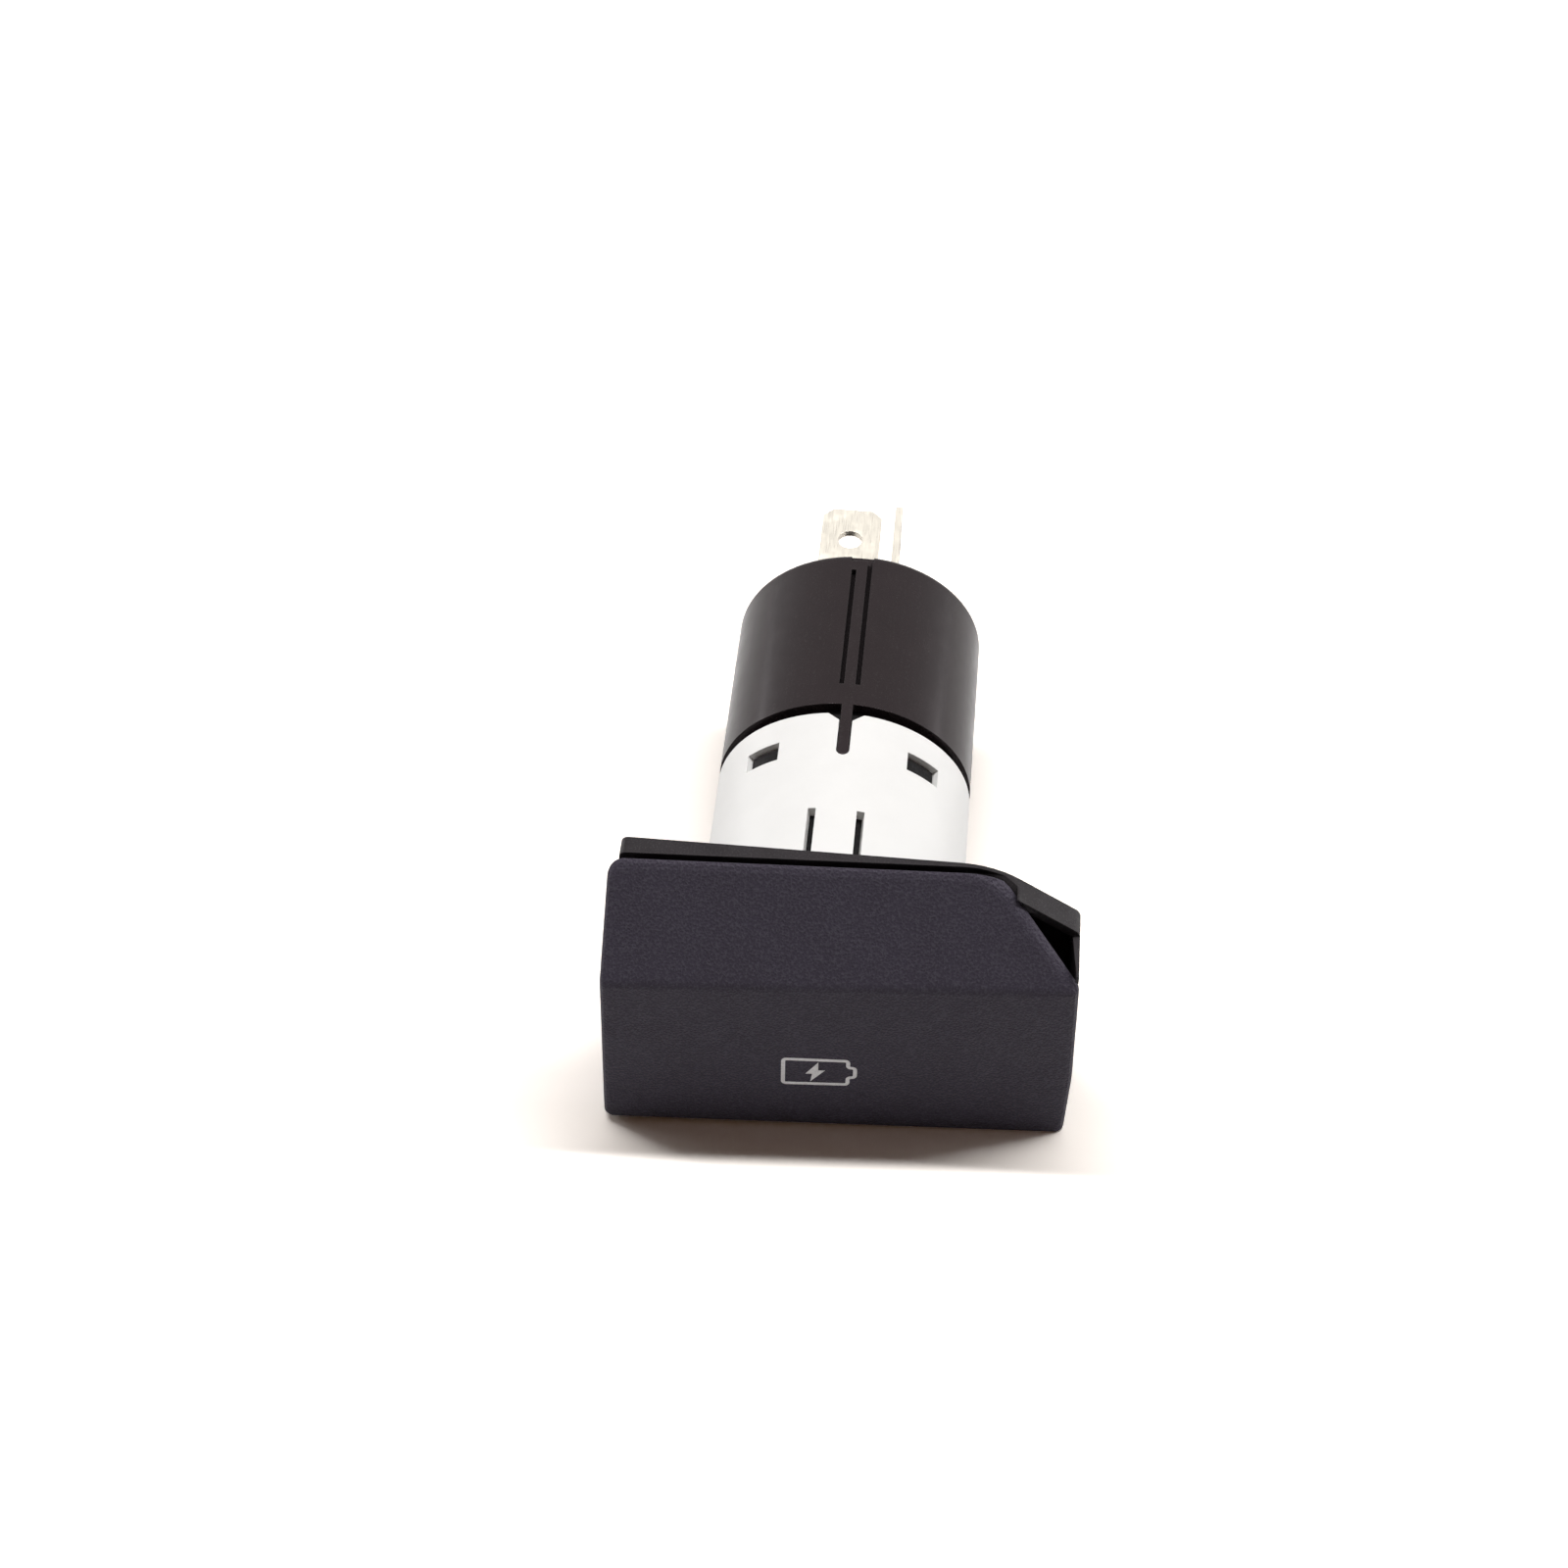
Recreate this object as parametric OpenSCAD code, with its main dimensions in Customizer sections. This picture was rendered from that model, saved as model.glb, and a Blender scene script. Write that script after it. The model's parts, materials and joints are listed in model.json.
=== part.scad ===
// Car USB socket: a round socket body with a frame and a hinged cover.
// The body's axis is Y, with the cover at -Y and the blades at +Y. Z is up.
// The origin lies on the axis, in the plane of the frame's rear face.

/* [Socket body] */
// Outer diameter of the light ring and the barrel
body_d = 29; // [28:0.5:31]
// Wall of the light ring and the barrel
ring_wall = 1.3; // [1.2:0.05:1.4]
// Rear end of the light ring, behind the frame
ring_end = 21.1; // [20:0.1:22]
// Open strip between the light ring and the barrel
body_gap = 1.4; // [1:0.1:2]
// Length of the barrel
barrel_len = 23.8; // [22:0.1:26]
// Reach of the barrel's key tongue over the light ring
key_len = 7.35; // [6:0.05:8]
// Width of the key tongue
key_w = 1.25; // [1:0.05:1.6]

/* [Frame] */
// Frame edge to the left of the axis
frame_left = 22.2; // [21.8:0.1:22.4]
// Frame edge to the right of the axis
frame_right = 26.9; // [26.7:0.1:27.2]
// Top edge of the frame above the axis
frame_top = 16; // [15.8:0.1:16.2]
// Bottom edge of the frame below the axis
frame_bottom = 16.5; // [16.3:0.1:16.8]
// Thickness of the frame's floor
floor_t = 1.2; // [1.1:0.05:1.4]
// Thickness of the raised walls around the finger recess
recess_wall = 1; // [0.9:0.05:1.1]
// Height of the right-hand wall in front of the rear face
side_wall_y = 8.3; // [8:0.1:8.6]
// Thickness of the right-hand wall at its front edge
side_wall_edge = 0.3; // [0.3:0.05:0.6]

/* [Cover] */
// Wall of the cover shell
lid_wall = 1.8; // [1.6:0.05:1.9]
// Angle of the upper facet from the horizontal
upper_slope = 47; // [46:0.5:48]
// Lean of the lower facet from the vertical
lower_lean = 4.3; // [3.5:0.1:5]
// Turn of the crease away from the frame
crease_skew = 3.7; // [3:0.1:4]
// Radius of the crease between the facets
crease_r = 2; // [1:0.25:3]
// Turn of the parting line between the cover and the frame
parting_skew = 2.6; // [2.4:0.1:2.8]
// Gap along the parting line
parting_gap = 0.6; // [0.5:0.05:0.7]
// Radius along the outer edges of the cover
lid_edge_r = 0.8; // [0.4:0.1:1]
// Drop of the cover's lower edge below the frame, at the left
lid_drop = 0.4; // [0.2:0.1:0.6]

/* [Hinge] */
// Diameter of the hinge pin
pin_d = 1.6; // [1.4:0.1:1.8]
// Outer radius of the cover's knuckles
knuckle_r = 1.6; // [1.6:0.05:1.7]

/* [Ports] */
// Width of the flat port's opening
port_a_w = 12.5; // [12.4:0.05:12.6]
// Height of the flat port's opening
port_a_h = 5.1; // [5:0.05:5.2]
// Width of the oval port's opening
port_c_w = 8.34; // [8.3:0.02:8.4]
// Height of the oval port's opening
port_c_h = 2.56; // [2.5:0.02:2.6]

/* [Blades] */
// Width of each blade terminal
blade_w = 7.2; // [7:0.1:7.8]
// Thickness of each blade terminal
blade_t = 0.8; // [0.7:0.05:0.9]
// Reach of the blades behind the barrel
blade_reach = 15.8; // [15:0.1:18]

/* [Fits] */
// Gap between pieces that slide together once
slip = 0.1; // [0.08:0.01:0.12]
// Gap between the hinge pin and its bores
pin_gap = 0.05; // [0.03:0.01:0.08]

/* [Hidden] */

$fn = 96;
over = 0.5;
far = 60;

// Radii along the axis
body_r = body_d / 2;
ring_in_r = body_r - ring_wall;
inner_r = ring_in_r - slip;
front_wall = 1.1;
rear_wall = 1.9;
front_bore_r = inner_r - front_wall;
rear_bore_r = inner_r - rear_wall;
neck_step = 2.1;
neck_wall = 1;
neck_r = body_r - neck_step;
neck_in_r = neck_r - neck_wall;
spigot_r = body_r - 0.2;
shoulder_sink = 0.1;

// Stations along the axis
barrel_start = ring_end + body_gap;
barrel_end = barrel_start + barrel_len;
neck_front = -floor_t - 0.1;
socket_depth = 0.5;
web_y = 0.2;
web_t = 1.5;
face_sink = 0.2;
flange_t = 0.5;
face_front = -floor_t + face_sink;
face_back = web_y + web_t + flange_t;
port_board_y = 11.5;
board_t = 1.6;
carrier_sink = 3.5;
inner_end = barrel_end - carrier_sink;
carrier_t = 2.6;
board_gap = 2.5;
power_board_end = inner_end - board_gap;
boss_reach = 1.5;
boss_end = barrel_end + boss_reach;
blade_end = barrel_end + blade_reach;

// Openings in the light ring
slit_arc = 10.5;
slit_w = 0.85;
slit_end = 7.3;
window_from = 29.5;
window_to = 47;
window_y = 15.2;
window_len = 2.5;
mouth_w = 4;
mouth_len = 1.1;
barb_r = 0.3;
barb_back = 0.2;
finger_gap = 0.4;
finger_edge = 1.8;
lug_edge = 1;
lug_rise = 0.7;
lug_gap = 0.3;

// Grooves on the barrel
groove_w = 0.55;
groove_depth = 0.7;
groove_arc = 3.6;
groove_start = barrel_start + 3.05;
groove_land = 2.6;
barrel_edge_r = 0.8;
notch_w = 2.6;
notch_len = 1.1;
key_root = 0.3;

// Frame outline, counter-clockwise seen from the cover's side
cut_w = 9.7;
cut_h = 6.8;
cut_x = frame_right - cut_w;
cut_z = frame_top - cut_h;
frame_corners = [
    [-frame_left, -frame_bottom], [frame_right, -frame_bottom], [frame_right, cut_z],
    [cut_x, frame_top], [-frame_left, frame_top]
];
frame_radii = [1.4, 1.4, 1.6, 11, 0.8];
rim_min = 0.45;
rim_y = 1.15;
rim_turn_x = (rim_y - rim_min) / tan(parting_skew);
border_top = frame_top - 2.8;
border_bottom = frame_bottom - 2;
border_side = frame_left - 2.3;
border_radii = [2, 0.5, 0.5, 2];
recess_front = 2.9;
ramp_x = cut_x - 2.7;
ramp_len = 5;
side_wall_top = cut_z - 0.4;
wall_lap = 1;

// Cover outline and facets
trim_gap = 0.35;
knuckle_wrap = 1.2;
lid_left = frame_left + knuckle_wrap;
lid_right = frame_right + 0.5;
lid_bulge = 0.3;
lid_bulge_z = -8;
lid_fall = 0.6;
lid_lean = 0.3;
lid_bottom = -frame_bottom - lid_drop;
lid_cut_x = cut_x + 0.1;
lid_cut_z = cut_z - 2.3;
lid_corners = [
    [-lid_left - lid_lean, lid_bottom], [lid_right + lid_bulge / 2, lid_bottom - lid_fall],
    [lid_right + lid_bulge, lid_bulge_z], [lid_right - lid_bulge, lid_cut_z],
    [lid_cut_x, frame_top], [-lid_left + lid_lean / 2, frame_top]
];
lid_edge_steps = 3;
lid_thin = 0.7;
lid_thin_w = 2.4;
lid_thin_x = ramp_x - trim_gap;
lid_radii = [1.2, 1, 20, 1, 8, 1.8];
crease_y = -10.8;
crease_z = frame_top - 9.6;
crease_rise = 0.9;
lid_relief_x = frame_right - recess_wall - trim_gap;
lid_open_z = lid_cut_z - 1.9;

// Hinge
hinge_x = -lid_left + knuckle_r;
hinge_y = -4.4;
hinge_bottom = -frame_bottom + lid_wall + 0.1;
hinge_top = crease_z + 4.5;
knuckle_count = 5;
knuckle_gap = 0.25;
knuckle_room = 0.3;
knuckle_step = (hinge_top - hinge_bottom) / knuckle_count;
arm_r = knuckle_r - 0.1;
pin_sink = 0.2;

// Cover liner
liner_gap = 0.05;
liner_wall = 1.2;
liner_left = -border_side + trim_gap;
liner_right = neck_r + 2.8;
liner_rear = neck_front - 0.2;
liner_depth = 4.4;
gusset = 3;

// Catch and buffers
catch_z = -10;
catch_w = 4;
catch_t = 0.4;
catch_base = 4;
catch_reach = 3;
bead_r = 0.3;
bead_gap = 0.35;
bead_y = liner_rear - 1.2;
catch_x = liner_right + bead_r + bead_gap + bead_r;
buffer_r = 0.9;
buffer_gap = 0.05;
buffer_x = liner_right - gusset / 2;
buffer_sink = 0.6;
buffer_zs = [-frame_bottom + lid_wall + gusset / 2 + 0.1, crease_z + 3.2];

// Ports
shell_t = 0.3;
port_front = face_front + face_sink;
port_a_z = 4.9;
port_c_z = -5.2;
port_fit = 0.05;
tongue_a_w = 11.1;
tongue_a_t = 1.84;
tongue_a_reach = 8.4;
tongue_a_drop = 0.75;
tongue_a_block = 2.5;
contact_a_w = 1;
contact_a_t = 0.25;
contact_a_back = 0.8;
contact_a_xs = [-3.5, -1, 1, 3.5];
latch_x = 3.2;
latch_w = 2;
latch_y = 3;
latch_len = 2.5;
tongue_c_w = 6.7;
tongue_c_t = 0.7;
tongue_c_reach = 4.5;
tongue_c_block = 5;
contact_c_count = 12;
contact_c_pitch = 0.5;
contact_c_w = 0.26;
contact_c_t = 0.12;
contact_c_back = 0.6;

// Blades
live_z = 6;
live_x = -2.2;
ground_z = 5;
ground_x = 3.5;
board_top = -1.2;
blade_start = power_board_end - 4;
tail_w = 4;
blade_hole_r = 1.5;
blade_hole_back = 5.2;
blade_corner = 1.2;
boss_corner = 1;
boss_side = 1.6;
boss_rim = 2;
boss_lip = 1;
boss_overlap = 1;

// Boards and components
board_edge = 0.15;
board_half_w = rear_bore_r + board_edge;
pin_w = 0.64;
pin_pitch = 2.54;
pin_len = 3;
coil_size = [10, 10, 4.6];
coil_corner = 2;
coil_y = 22;
can_r = 3.15;
can_h = 7.4;
can_inset = 2.65;
can_x = rear_bore_r - can_r - can_inset;
can_y = blade_start - can_r - 0.4;
crimp_r = 0.3;
crimp_h = 1.2;
chip_size = [5, 4, 1.5];
chip_y = 21;
chip_lift = 0.15;
leg_size = [0.4, 1, 0.7];
leg_pitch = 1.27;
diode_size = [2.6, 4.3, 2.1];
diode_y = 31;
led_size = [1.6, 0.7, 0.8];
led_x = 9.4;

// Direction of a vector, and the direction a quarter turn to its left
function unit(v) = v / norm(v);
function left_of(u) = [-u.y, u.x];

// Corner b between a and c with both edges moved inwards by d
function moved_corner(a, b, c, d) =
    let (n1 = left_of(unit(b - a)), n2 = left_of(unit(c - b)))
    b + d * (n1 + n2) / (1 + n1 * n2);

// Arc that rounds corner b between a and c
function corner_arc(a, b, c, r, steps) =
    let (
        u = unit(b - a),
        v = unit(c - b),
        turn = atan2(u.x * v.y - u.y * v.x, u * v),
        start = b - u * r * tan(turn / 2),
        centre = start + left_of(u) * r,
        from = atan2(-left_of(u).y, -left_of(u).x)
    )
    [for (i = [0 : steps]) centre + r * [cos(from + turn * i / steps), sin(from + turn * i / steps)]];

// Outline through the corners, moved inwards by d, with its corners rounded
function outline(corners, radii, d = 0, steps = 8) =
    let (
        n = len(corners),
        moved = [for (i = [0 : n - 1])
            moved_corner(corners[(i + n - 1) % n], corners[i], corners[(i + 1) % n], d)]
    )
    [for (i = [0 : n - 1])
        each corner_arc(moved[(i + n - 1) % n], moved[i], moved[(i + 1) % n],
            max(radii[i] - d, 0.05), steps)];

// Y of the frame's rim at x, a slanted line that ends in a level one
function rim_at(x) = -rim_y + min(x, rim_turn_x) * tan(parting_skew);

// Solid with an XZ outline between two planes across the axis
module slab(points, front, back) {
    translate([0, back, 0])
        rotate([90, 0, 0])
            linear_extrude(back - front)
                polygon(points);
}

// Block between two corners
module block(low, high) {
    translate(low)
        cube(high - low);
}

// Cylinder along the axis
module rod(r, front, back, fn = 96) {
    translate([0, back, 0])
        rotate([90, 0, 0])
            cylinder(r = r, h = back - front, $fn = fn);
}

// Tube along the axis
module tube(r_out, r_in, front, back) {
    difference() {
        rod(r_out, front, back);
        rod(r_in, front - over, back + over);
    }
}

// Turns its children about the axis, with 0 at the top
module around(angle) {
    rotate([0, angle, 0])
        children();
}

// Everything behind the parting line, moved forwards by a gap
module behind_parting(gap) {
    translate([0, 0, -far])
        linear_extrude(2 * far)
            polygon([
                [-far, rim_at(-far) - gap], [rim_turn_x, rim_at(rim_turn_x) - gap],
                [far, rim_at(far) - gap], [far, far], [-far, far]
            ]);
}

// Wedge behind both facets of the cover, moved inwards by d
module facet_wedge(d) {
    corners = [
        [-far * sin(lower_lean), -far * cos(lower_lean)], [far, -far * cos(lower_lean)],
        [far, far * sin(upper_slope)], [far * cos(upper_slope), far * sin(upper_slope)],
        [0, 0]
    ];
    translate([0, crease_y, crease_z])
        rotate([0, -crease_rise, crease_skew])
            rotate([90, 0, 90])
                translate([0, 0, -far])
                    linear_extrude(2 * far)
                        polygon(outline(corners, [0, 0, 0, 0, crease_r], d));
}

// Raised walls of the frame, cut back where the cover's edge reaches over them
module raised_walls() {
    difference() {
        union() {
            recess_walls();
            side_wall();
        }
        difference() {
            slab(outline(lid_corners, lid_radii, -trim_gap), -far, far);
            facet_wedge(lid_thin + trim_gap);
        }
    }
}

// Walls above and beside the finger recess, which rise along a ramp
module recess_walls() {
    intersection() {
        difference() {
            slab(outline(frame_corners, frame_radii), -recess_front, 0);
            slab(outline(frame_corners, frame_radii, recess_wall), -far, far);
        }
        translate([0, 0, side_wall_top - wall_lap])
            linear_extrude(far)
                polygon([
                    [ramp_x, 0], [ramp_x, -rim_min], [ramp_x + ramp_len, -recess_front],
                    [far, -recess_front], [far, 0]
                ]);
    }
}

// Wall at the right of the finger recess, thinner to its front, which follows the lower facet
module side_wall() {
    edge_x = frame_right - side_wall_edge;
    for (limit = [[side_wall_y, side_wall_top], [far, crease_z]])
        intersection() {
            slab(outline(frame_corners, frame_radii), -limit[0], 0);
            translate([0, 0, -far])
                linear_extrude(far + limit[1])
                    polygon([
                        [edge_x - recess_wall + side_wall_edge, 0],
                        [edge_x - recess_wall + side_wall_edge, -floor_t],
                        [edge_x, -side_wall_y], [edge_x, -far], [far, -far], [far, 0]
                    ]);
        }
}

// Places its children at every second knuckle, from the first one
module knuckle_places(first) {
    for (i = [first : 2 : knuckle_count - 1])
        translate([hinge_x, hinge_y, hinge_bottom + i * knuckle_step])
            children();
}

// Arm of the frame with its knuckle around the pin
module hinge_arm() {
    height = knuckle_step - knuckle_gap;
    translate([0, 0, knuckle_gap / 2]) {
        cylinder(r = arm_r, h = height);
        block([-frame_left - hinge_x, 0, 0], [arm_r, -hinge_y - floor_t, height]);
    }
}

// Slit along both sides of a spring finger at the top and the bottom of the ring
module finger_slits() {
    for (side = [0, 180], arc = [-slit_arc, slit_arc])
        around(side + arc)
            block([-slit_w / 2, -socket_depth - over, ring_in_r - over],
                [slit_w / 2, slit_end, body_r + over]);
}

// Slab inside the frame's border, grown to all sides by a gap
module border_slab(gap, front, back) {
    inner = [
        [-border_side, -border_bottom], [frame_right - recess_wall, -border_bottom],
        [frame_right - recess_wall, border_top], [-border_side, border_top]
    ];
    slab(outline(inner, border_radii, -gap), front, back);
}

// Frame with its floor, rim, finger recess and hinge arms
module frame() {
    color([0.19, 0.18, 0.18])
        difference() {
            union() {
                difference() {
                    intersection() {
                        slab(outline(frame_corners, frame_radii), -far, 0);
                        behind_parting(0);
                    }
                    border_slab(0, -far, -floor_t);
                }
                intersection() {
                    slab(outline(frame_corners, frame_radii), -floor_t, 0);
                    border_slab(0, -floor_t, 0);
                }
                raised_walls();
                knuckle_places(1)
                    hinge_arm();
            }
            rod(neck_r + slip, -far, far);
            tube(body_r + slip / 2, ring_in_r - slip / 2, -shoulder_sink, over);
            tube(spigot_r + slip / 2, ring_in_r - slip / 2, -socket_depth, over);
            tube(body_r + barb_r + slip, spigot_r - slip, -socket_depth, -barb_back / 2);
            pin_bore();
            for (z = buffer_zs)
                translate([buffer_x, 0, z])
                    rod(buffer_r, -floor_t - over, -floor_t + buffer_sink);
        }
}

// Outer shell of the cover with its two facets
module lid_shell() {
    color([0.25, 0.25, 0.28])
        difference() {
            union() {
                difference() {
                    lid_block();
                    lid_hollow();
                    lid_thinning();
                }
                intersection() {
                    knuckle_places(0)
                        translate([0, 0, knuckle_gap / 2])
                            cylinder(r = knuckle_r, h = knuckle_step - knuckle_gap);
                    facet_wedge(liner_gap);
                    slab(outline(lid_corners, lid_radii), -far, far);
                }
            }
            intersection() {
                block([lid_relief_x, -far, -far], [far, far, far]);
                facet_wedge(lid_thin);
            }
            border_slab(trim_gap, -floor_t - trim_gap, far);
            hinge_corner();
            knuckle_places(1)
                block([-far, -knuckle_r - knuckle_room, 0], [knuckle_r + knuckle_room, far, knuckle_step]);
            pin_bore();
        }
}

// Bore for the hinge pin, open at the cover's lower edge and closed at its upper end
module pin_bore() {
    translate([hinge_x, hinge_y, lid_bottom - over])
        cylinder(d = pin_d + 2 * pin_gap, h = hinge_top - lid_bottom + over);
}

// Outer form of the cover before it is hollowed, rounded where its sides meet its facets
module lid_block() {
    difference() {
        hull()
            for (i = [0 : lid_edge_steps])
                intersection() {
                    slab(outline(lid_corners, lid_radii, lid_edge_r * (1 - cos(90 * i / lid_edge_steps))),
                        -far, far);
                    facet_wedge(lid_edge_r * (1 - sin(90 * i / lid_edge_steps)));
                }
        behind_parting(parting_gap);
    }
}

// Hollow of the cover, open to the rear and at the cut corner
module lid_hollow() {
    room = [
        [-lid_left + lid_wall, -frame_bottom + lid_wall], [lid_right - lid_wall, -frame_bottom + lid_wall],
        [lid_right - lid_wall, lid_open_z], [far, lid_open_z], [far, far], [-lid_left + lid_wall, far]
    ];
    intersection() {
        slab(room, -far, far);
        facet_wedge(lid_wall);
    }
}

// What thins the upper facet along the cut corner
module lid_thinning() {
    intersection() {
        difference() {
            facet_wedge(lid_thin);
            slab(outline(lid_corners, lid_radii, lid_thin_w), -far, far);
        }
        block([lid_thin_x, -far, lid_open_z], [far, far, far]);
    }
}

// What is cut from the cover's rear left edge so that it turns about the pin
module hinge_corner() {
    difference() {
        block([-far, hinge_y, -far], [hinge_x, far, far]);
        translate([hinge_x, hinge_y, -far])
            cylinder(r = knuckle_r, h = 2 * far);
    }
}

// Inner tray of the cover, with solid corners over the buffers and a catch bead
module lid_liner() {
    depth = -liner_rear + liner_depth;
    fit = lid_wall + liner_gap;
    bottom = -frame_bottom + fit;
    color([0.16, 0.16, 0.17]) {
        difference() {
            intersection() {
                block([liner_left, -depth, bottom], [liner_right, liner_rear, far]);
                facet_wedge(fit);
            }
            behind_parting(parting_gap);
            intersection() {
                block([liner_left + liner_wall, -depth + liner_wall, bottom + liner_wall],
                    [liner_right - liner_wall, far, far]);
                facet_wedge(fit + liner_wall);
            }
        }
        intersection() {
            for (z = buffer_zs)
                block([liner_right - gusset, -depth + liner_wall / 2, z - gusset / 2],
                    [liner_right - liner_wall / 2, liner_rear, z + gusset / 2]);
            facet_wedge(fit);
        }
        translate([liner_right, bead_y, catch_z - catch_w / 2])
            cylinder(r = bead_r, h = catch_w, $fn = 48);
    }
}

// Steel pin of the hinge
module hinge_pin() {
    color([0.72, 0.72, 0.74])
        translate([hinge_x, hinge_y, lid_bottom + pin_sink])
            cylinder(d = pin_d, h = hinge_top - lid_bottom - 2 * pin_sink);
}

// Bent leaf that holds the cover shut
module catch_spring() {
    color([0.75, 0.75, 0.77])
        translate([catch_x, -floor_t, catch_z - catch_w / 2]) {
            block([0, -catch_t, 0], [catch_base, 0, catch_w]);
            block([0, -catch_t - catch_reach, 0], [catch_t, 0, catch_w]);
            translate([0, -catch_t - catch_reach + bead_r, 0])
                cylinder(r = bead_r, h = catch_w, $fn = 48);
        }
}

// Rubber plugs that the closed cover comes down on
module lid_buffers() {
    color([0.08, 0.08, 0.08])
        for (z = buffer_zs)
            translate([buffer_x, 0, z])
                rod(buffer_r, liner_rear + buffer_gap, -floor_t + buffer_sink, 48);
}

// White ring with its neck, spring fingers, windows and key slot
module light_ring() {
    color([0.95, 0.95, 0.94])
        difference() {
            union() {
                tube(body_r, ring_in_r, -shoulder_sink, ring_end);
                tube(spigot_r, ring_in_r, -socket_depth, over);
                tube(ring_in_r + over, neck_in_r, web_y, web_y + web_t);
                tube(neck_r, neck_in_r, neck_front, web_y + over);
                intersection() {
                    tube(body_r + barb_r, ring_in_r + over, -socket_depth + barb_back / 4, -barb_back);
                    finger_sectors(slit_arc - finger_edge);
                }
            }
            finger_slits();
            intersection() {
                tube(ring_in_r, ring_in_r - finger_gap, -socket_depth - over, slit_end);
                finger_sectors(slit_arc);
            }
            for (side = [-1, 1])
                ring_window(side);
            linear_extrude(far)
                key_shape(slip);
            key_mouth();
        }
}

// Wedges at the top and the bottom, as far to both sides as the angle says
module finger_sectors(half) {
    for (side = [1, -1])
        slab([[0, 0], [-far * tan(half), side * far], [far * tan(half), side * far]], -far, far);
}

// Window over a snap lug, on one side of the ring
module ring_window(side) {
    middle = (window_from + window_to) / 2;
    half = (window_to - window_from) / 2;
    around(side * middle)
        translate([0, window_y, 0])
            rotate([-90, 0, 0])
                linear_extrude(window_len)
                    polygon([
                        [0, 0], [-far * tan(half), -far], [far * tan(half), -far]
                    ]);
}

// Chamfered mouth of the key slot
module key_mouth() {
    linear_extrude(far)
        polygon([
            [-mouth_w / 2, ring_end + over], [-mouth_w / 2, ring_end],
            [-key_w / 2, ring_end - mouth_len], [key_w / 2, ring_end - mouth_len],
            [mouth_w / 2, ring_end], [mouth_w / 2, ring_end + over]
        ]);
}

// Black barrel with its key tongue, two grooves and a notched rear edge
module barrel() {
    color([0.1, 0.1, 0.1]) {
        difference() {
            barrel_sleeve();
            barrel_groove(-groove_arc, barrel_end - groove_land);
            barrel_groove(groove_arc, barrel_end + over);
            block([-notch_w / 2, barrel_end - notch_len, body_r - groove_depth],
                [notch_w / 2, far, far]);
        }
        intersection() {
            tube(body_r, ring_in_r, 0, far);
            linear_extrude(far)
                key_shape(0);
        }
    }
}

// Sleeve of the barrel, rounded at its rear edge
module barrel_sleeve() {
    rotate([-90, 0, 0])
        rotate_extrude()
            polygon(concat(
                [
                    [ring_in_r, barrel_end], [ring_in_r, barrel_start], [body_r, barrel_start],
                    [body_r, barrel_end - barrel_edge_r]
                ],
                [for (a = [15 : 15 : 90]) [
                    body_r - barrel_edge_r + barrel_edge_r * cos(a),
                    barrel_end - barrel_edge_r + barrel_edge_r * sin(a)
                ]]
            ));
}

// Key tongue seen from above, with a round tip, grown on every side by a gap
module key_shape(gap) {
    tip = barrel_start - key_len + key_w / 2;
    translate([0, tip])
        circle(d = key_w + 2 * gap, $fn = 32);
    translate([-key_w / 2 - gap, tip])
        square([key_w + 2 * gap, barrel_start - tip + key_root]);
}

// Narrow groove along the barrel
module barrel_groove(arc, groove_end) {
    around(arc)
        block([-groove_w / 2, groove_start, body_r - groove_depth], [groove_w / 2, groove_end, far]);
}

// Dark inner housing with its snap lugs, step and board grooves
module inner_body() {
    step_y = port_board_y + board_t;
    color([0.13, 0.13, 0.13]) {
        difference() {
            rod(inner_r, face_back, inner_end);
            rod(front_bore_r, face_back - over, step_y);
            rod(rear_bore_r, step_y - over, inner_end + over);
            block([-board_half_w - slip, step_y, board_top - board_t - slip / 2],
                [board_half_w + slip, power_board_end + slip, board_top + slip / 2]);
        }
        for (side = [-1, 1])
            snap_lug(side);
    }
}

// Snap lug that fills most of a window in the light ring
module snap_lug(side) {
    middle = (window_from + window_to) / 2;
    half = (window_to - window_from) / 2 - lug_edge;
    intersection() {
        tube(ring_in_r + lug_rise, front_bore_r, window_y + slip, window_y + window_len - lug_gap);
        around(side * middle)
            slab([[0, 0], [-far * tan(half), far], [far * tan(half), far]], 0, far);
    }
}

// Rounded slot, as wide and high as given, centred on the axis
module pill(w, h, front, back) {
    slab(outline([[-w / 2, -h / 2], [w / 2, -h / 2], [w / 2, h / 2], [-w / 2, h / 2]],
        [h, h, h, h] / 2.05), front, back);
}

// Round face plate around both ports
module usb_face() {
    room = shell_t + port_fit;
    color([0.09, 0.09, 0.1])
        difference() {
            union() {
                rod(neck_in_r - slip, face_front, face_back);
                rod(inner_r, web_y + web_t, face_back);
            }
            block([-port_a_w / 2 - room, -far, port_a_z - port_a_h / 2 - room],
                [port_a_w / 2 + room, far, port_a_z + port_a_h / 2 + room]);
            translate([0, 0, port_c_z])
                pill(port_c_w + 2 * room, port_c_h + 2 * room, -far, far);
        }
}

// Folded steel shell of the flat port
module usb_a_shell() {
    color([0.78, 0.78, 0.8])
        difference() {
            block([-port_a_w / 2 - shell_t, port_front, port_a_z - port_a_h / 2 - shell_t],
                [port_a_w / 2 + shell_t, port_board_y, port_a_z + port_a_h / 2 + shell_t]);
            block([-port_a_w / 2, port_front - over, port_a_z - port_a_h / 2],
                [port_a_w / 2, port_board_y + over, port_a_z + port_a_h / 2]);
            for (side = [-1, 1], x = [-1, 1])
                translate([x * latch_x - latch_w / 2, port_front + latch_y, port_a_z + side * port_a_h / 2])
                    block([0, 0, -2 * shell_t], [latch_w, latch_len, 2 * shell_t]);
        }
}

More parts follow.
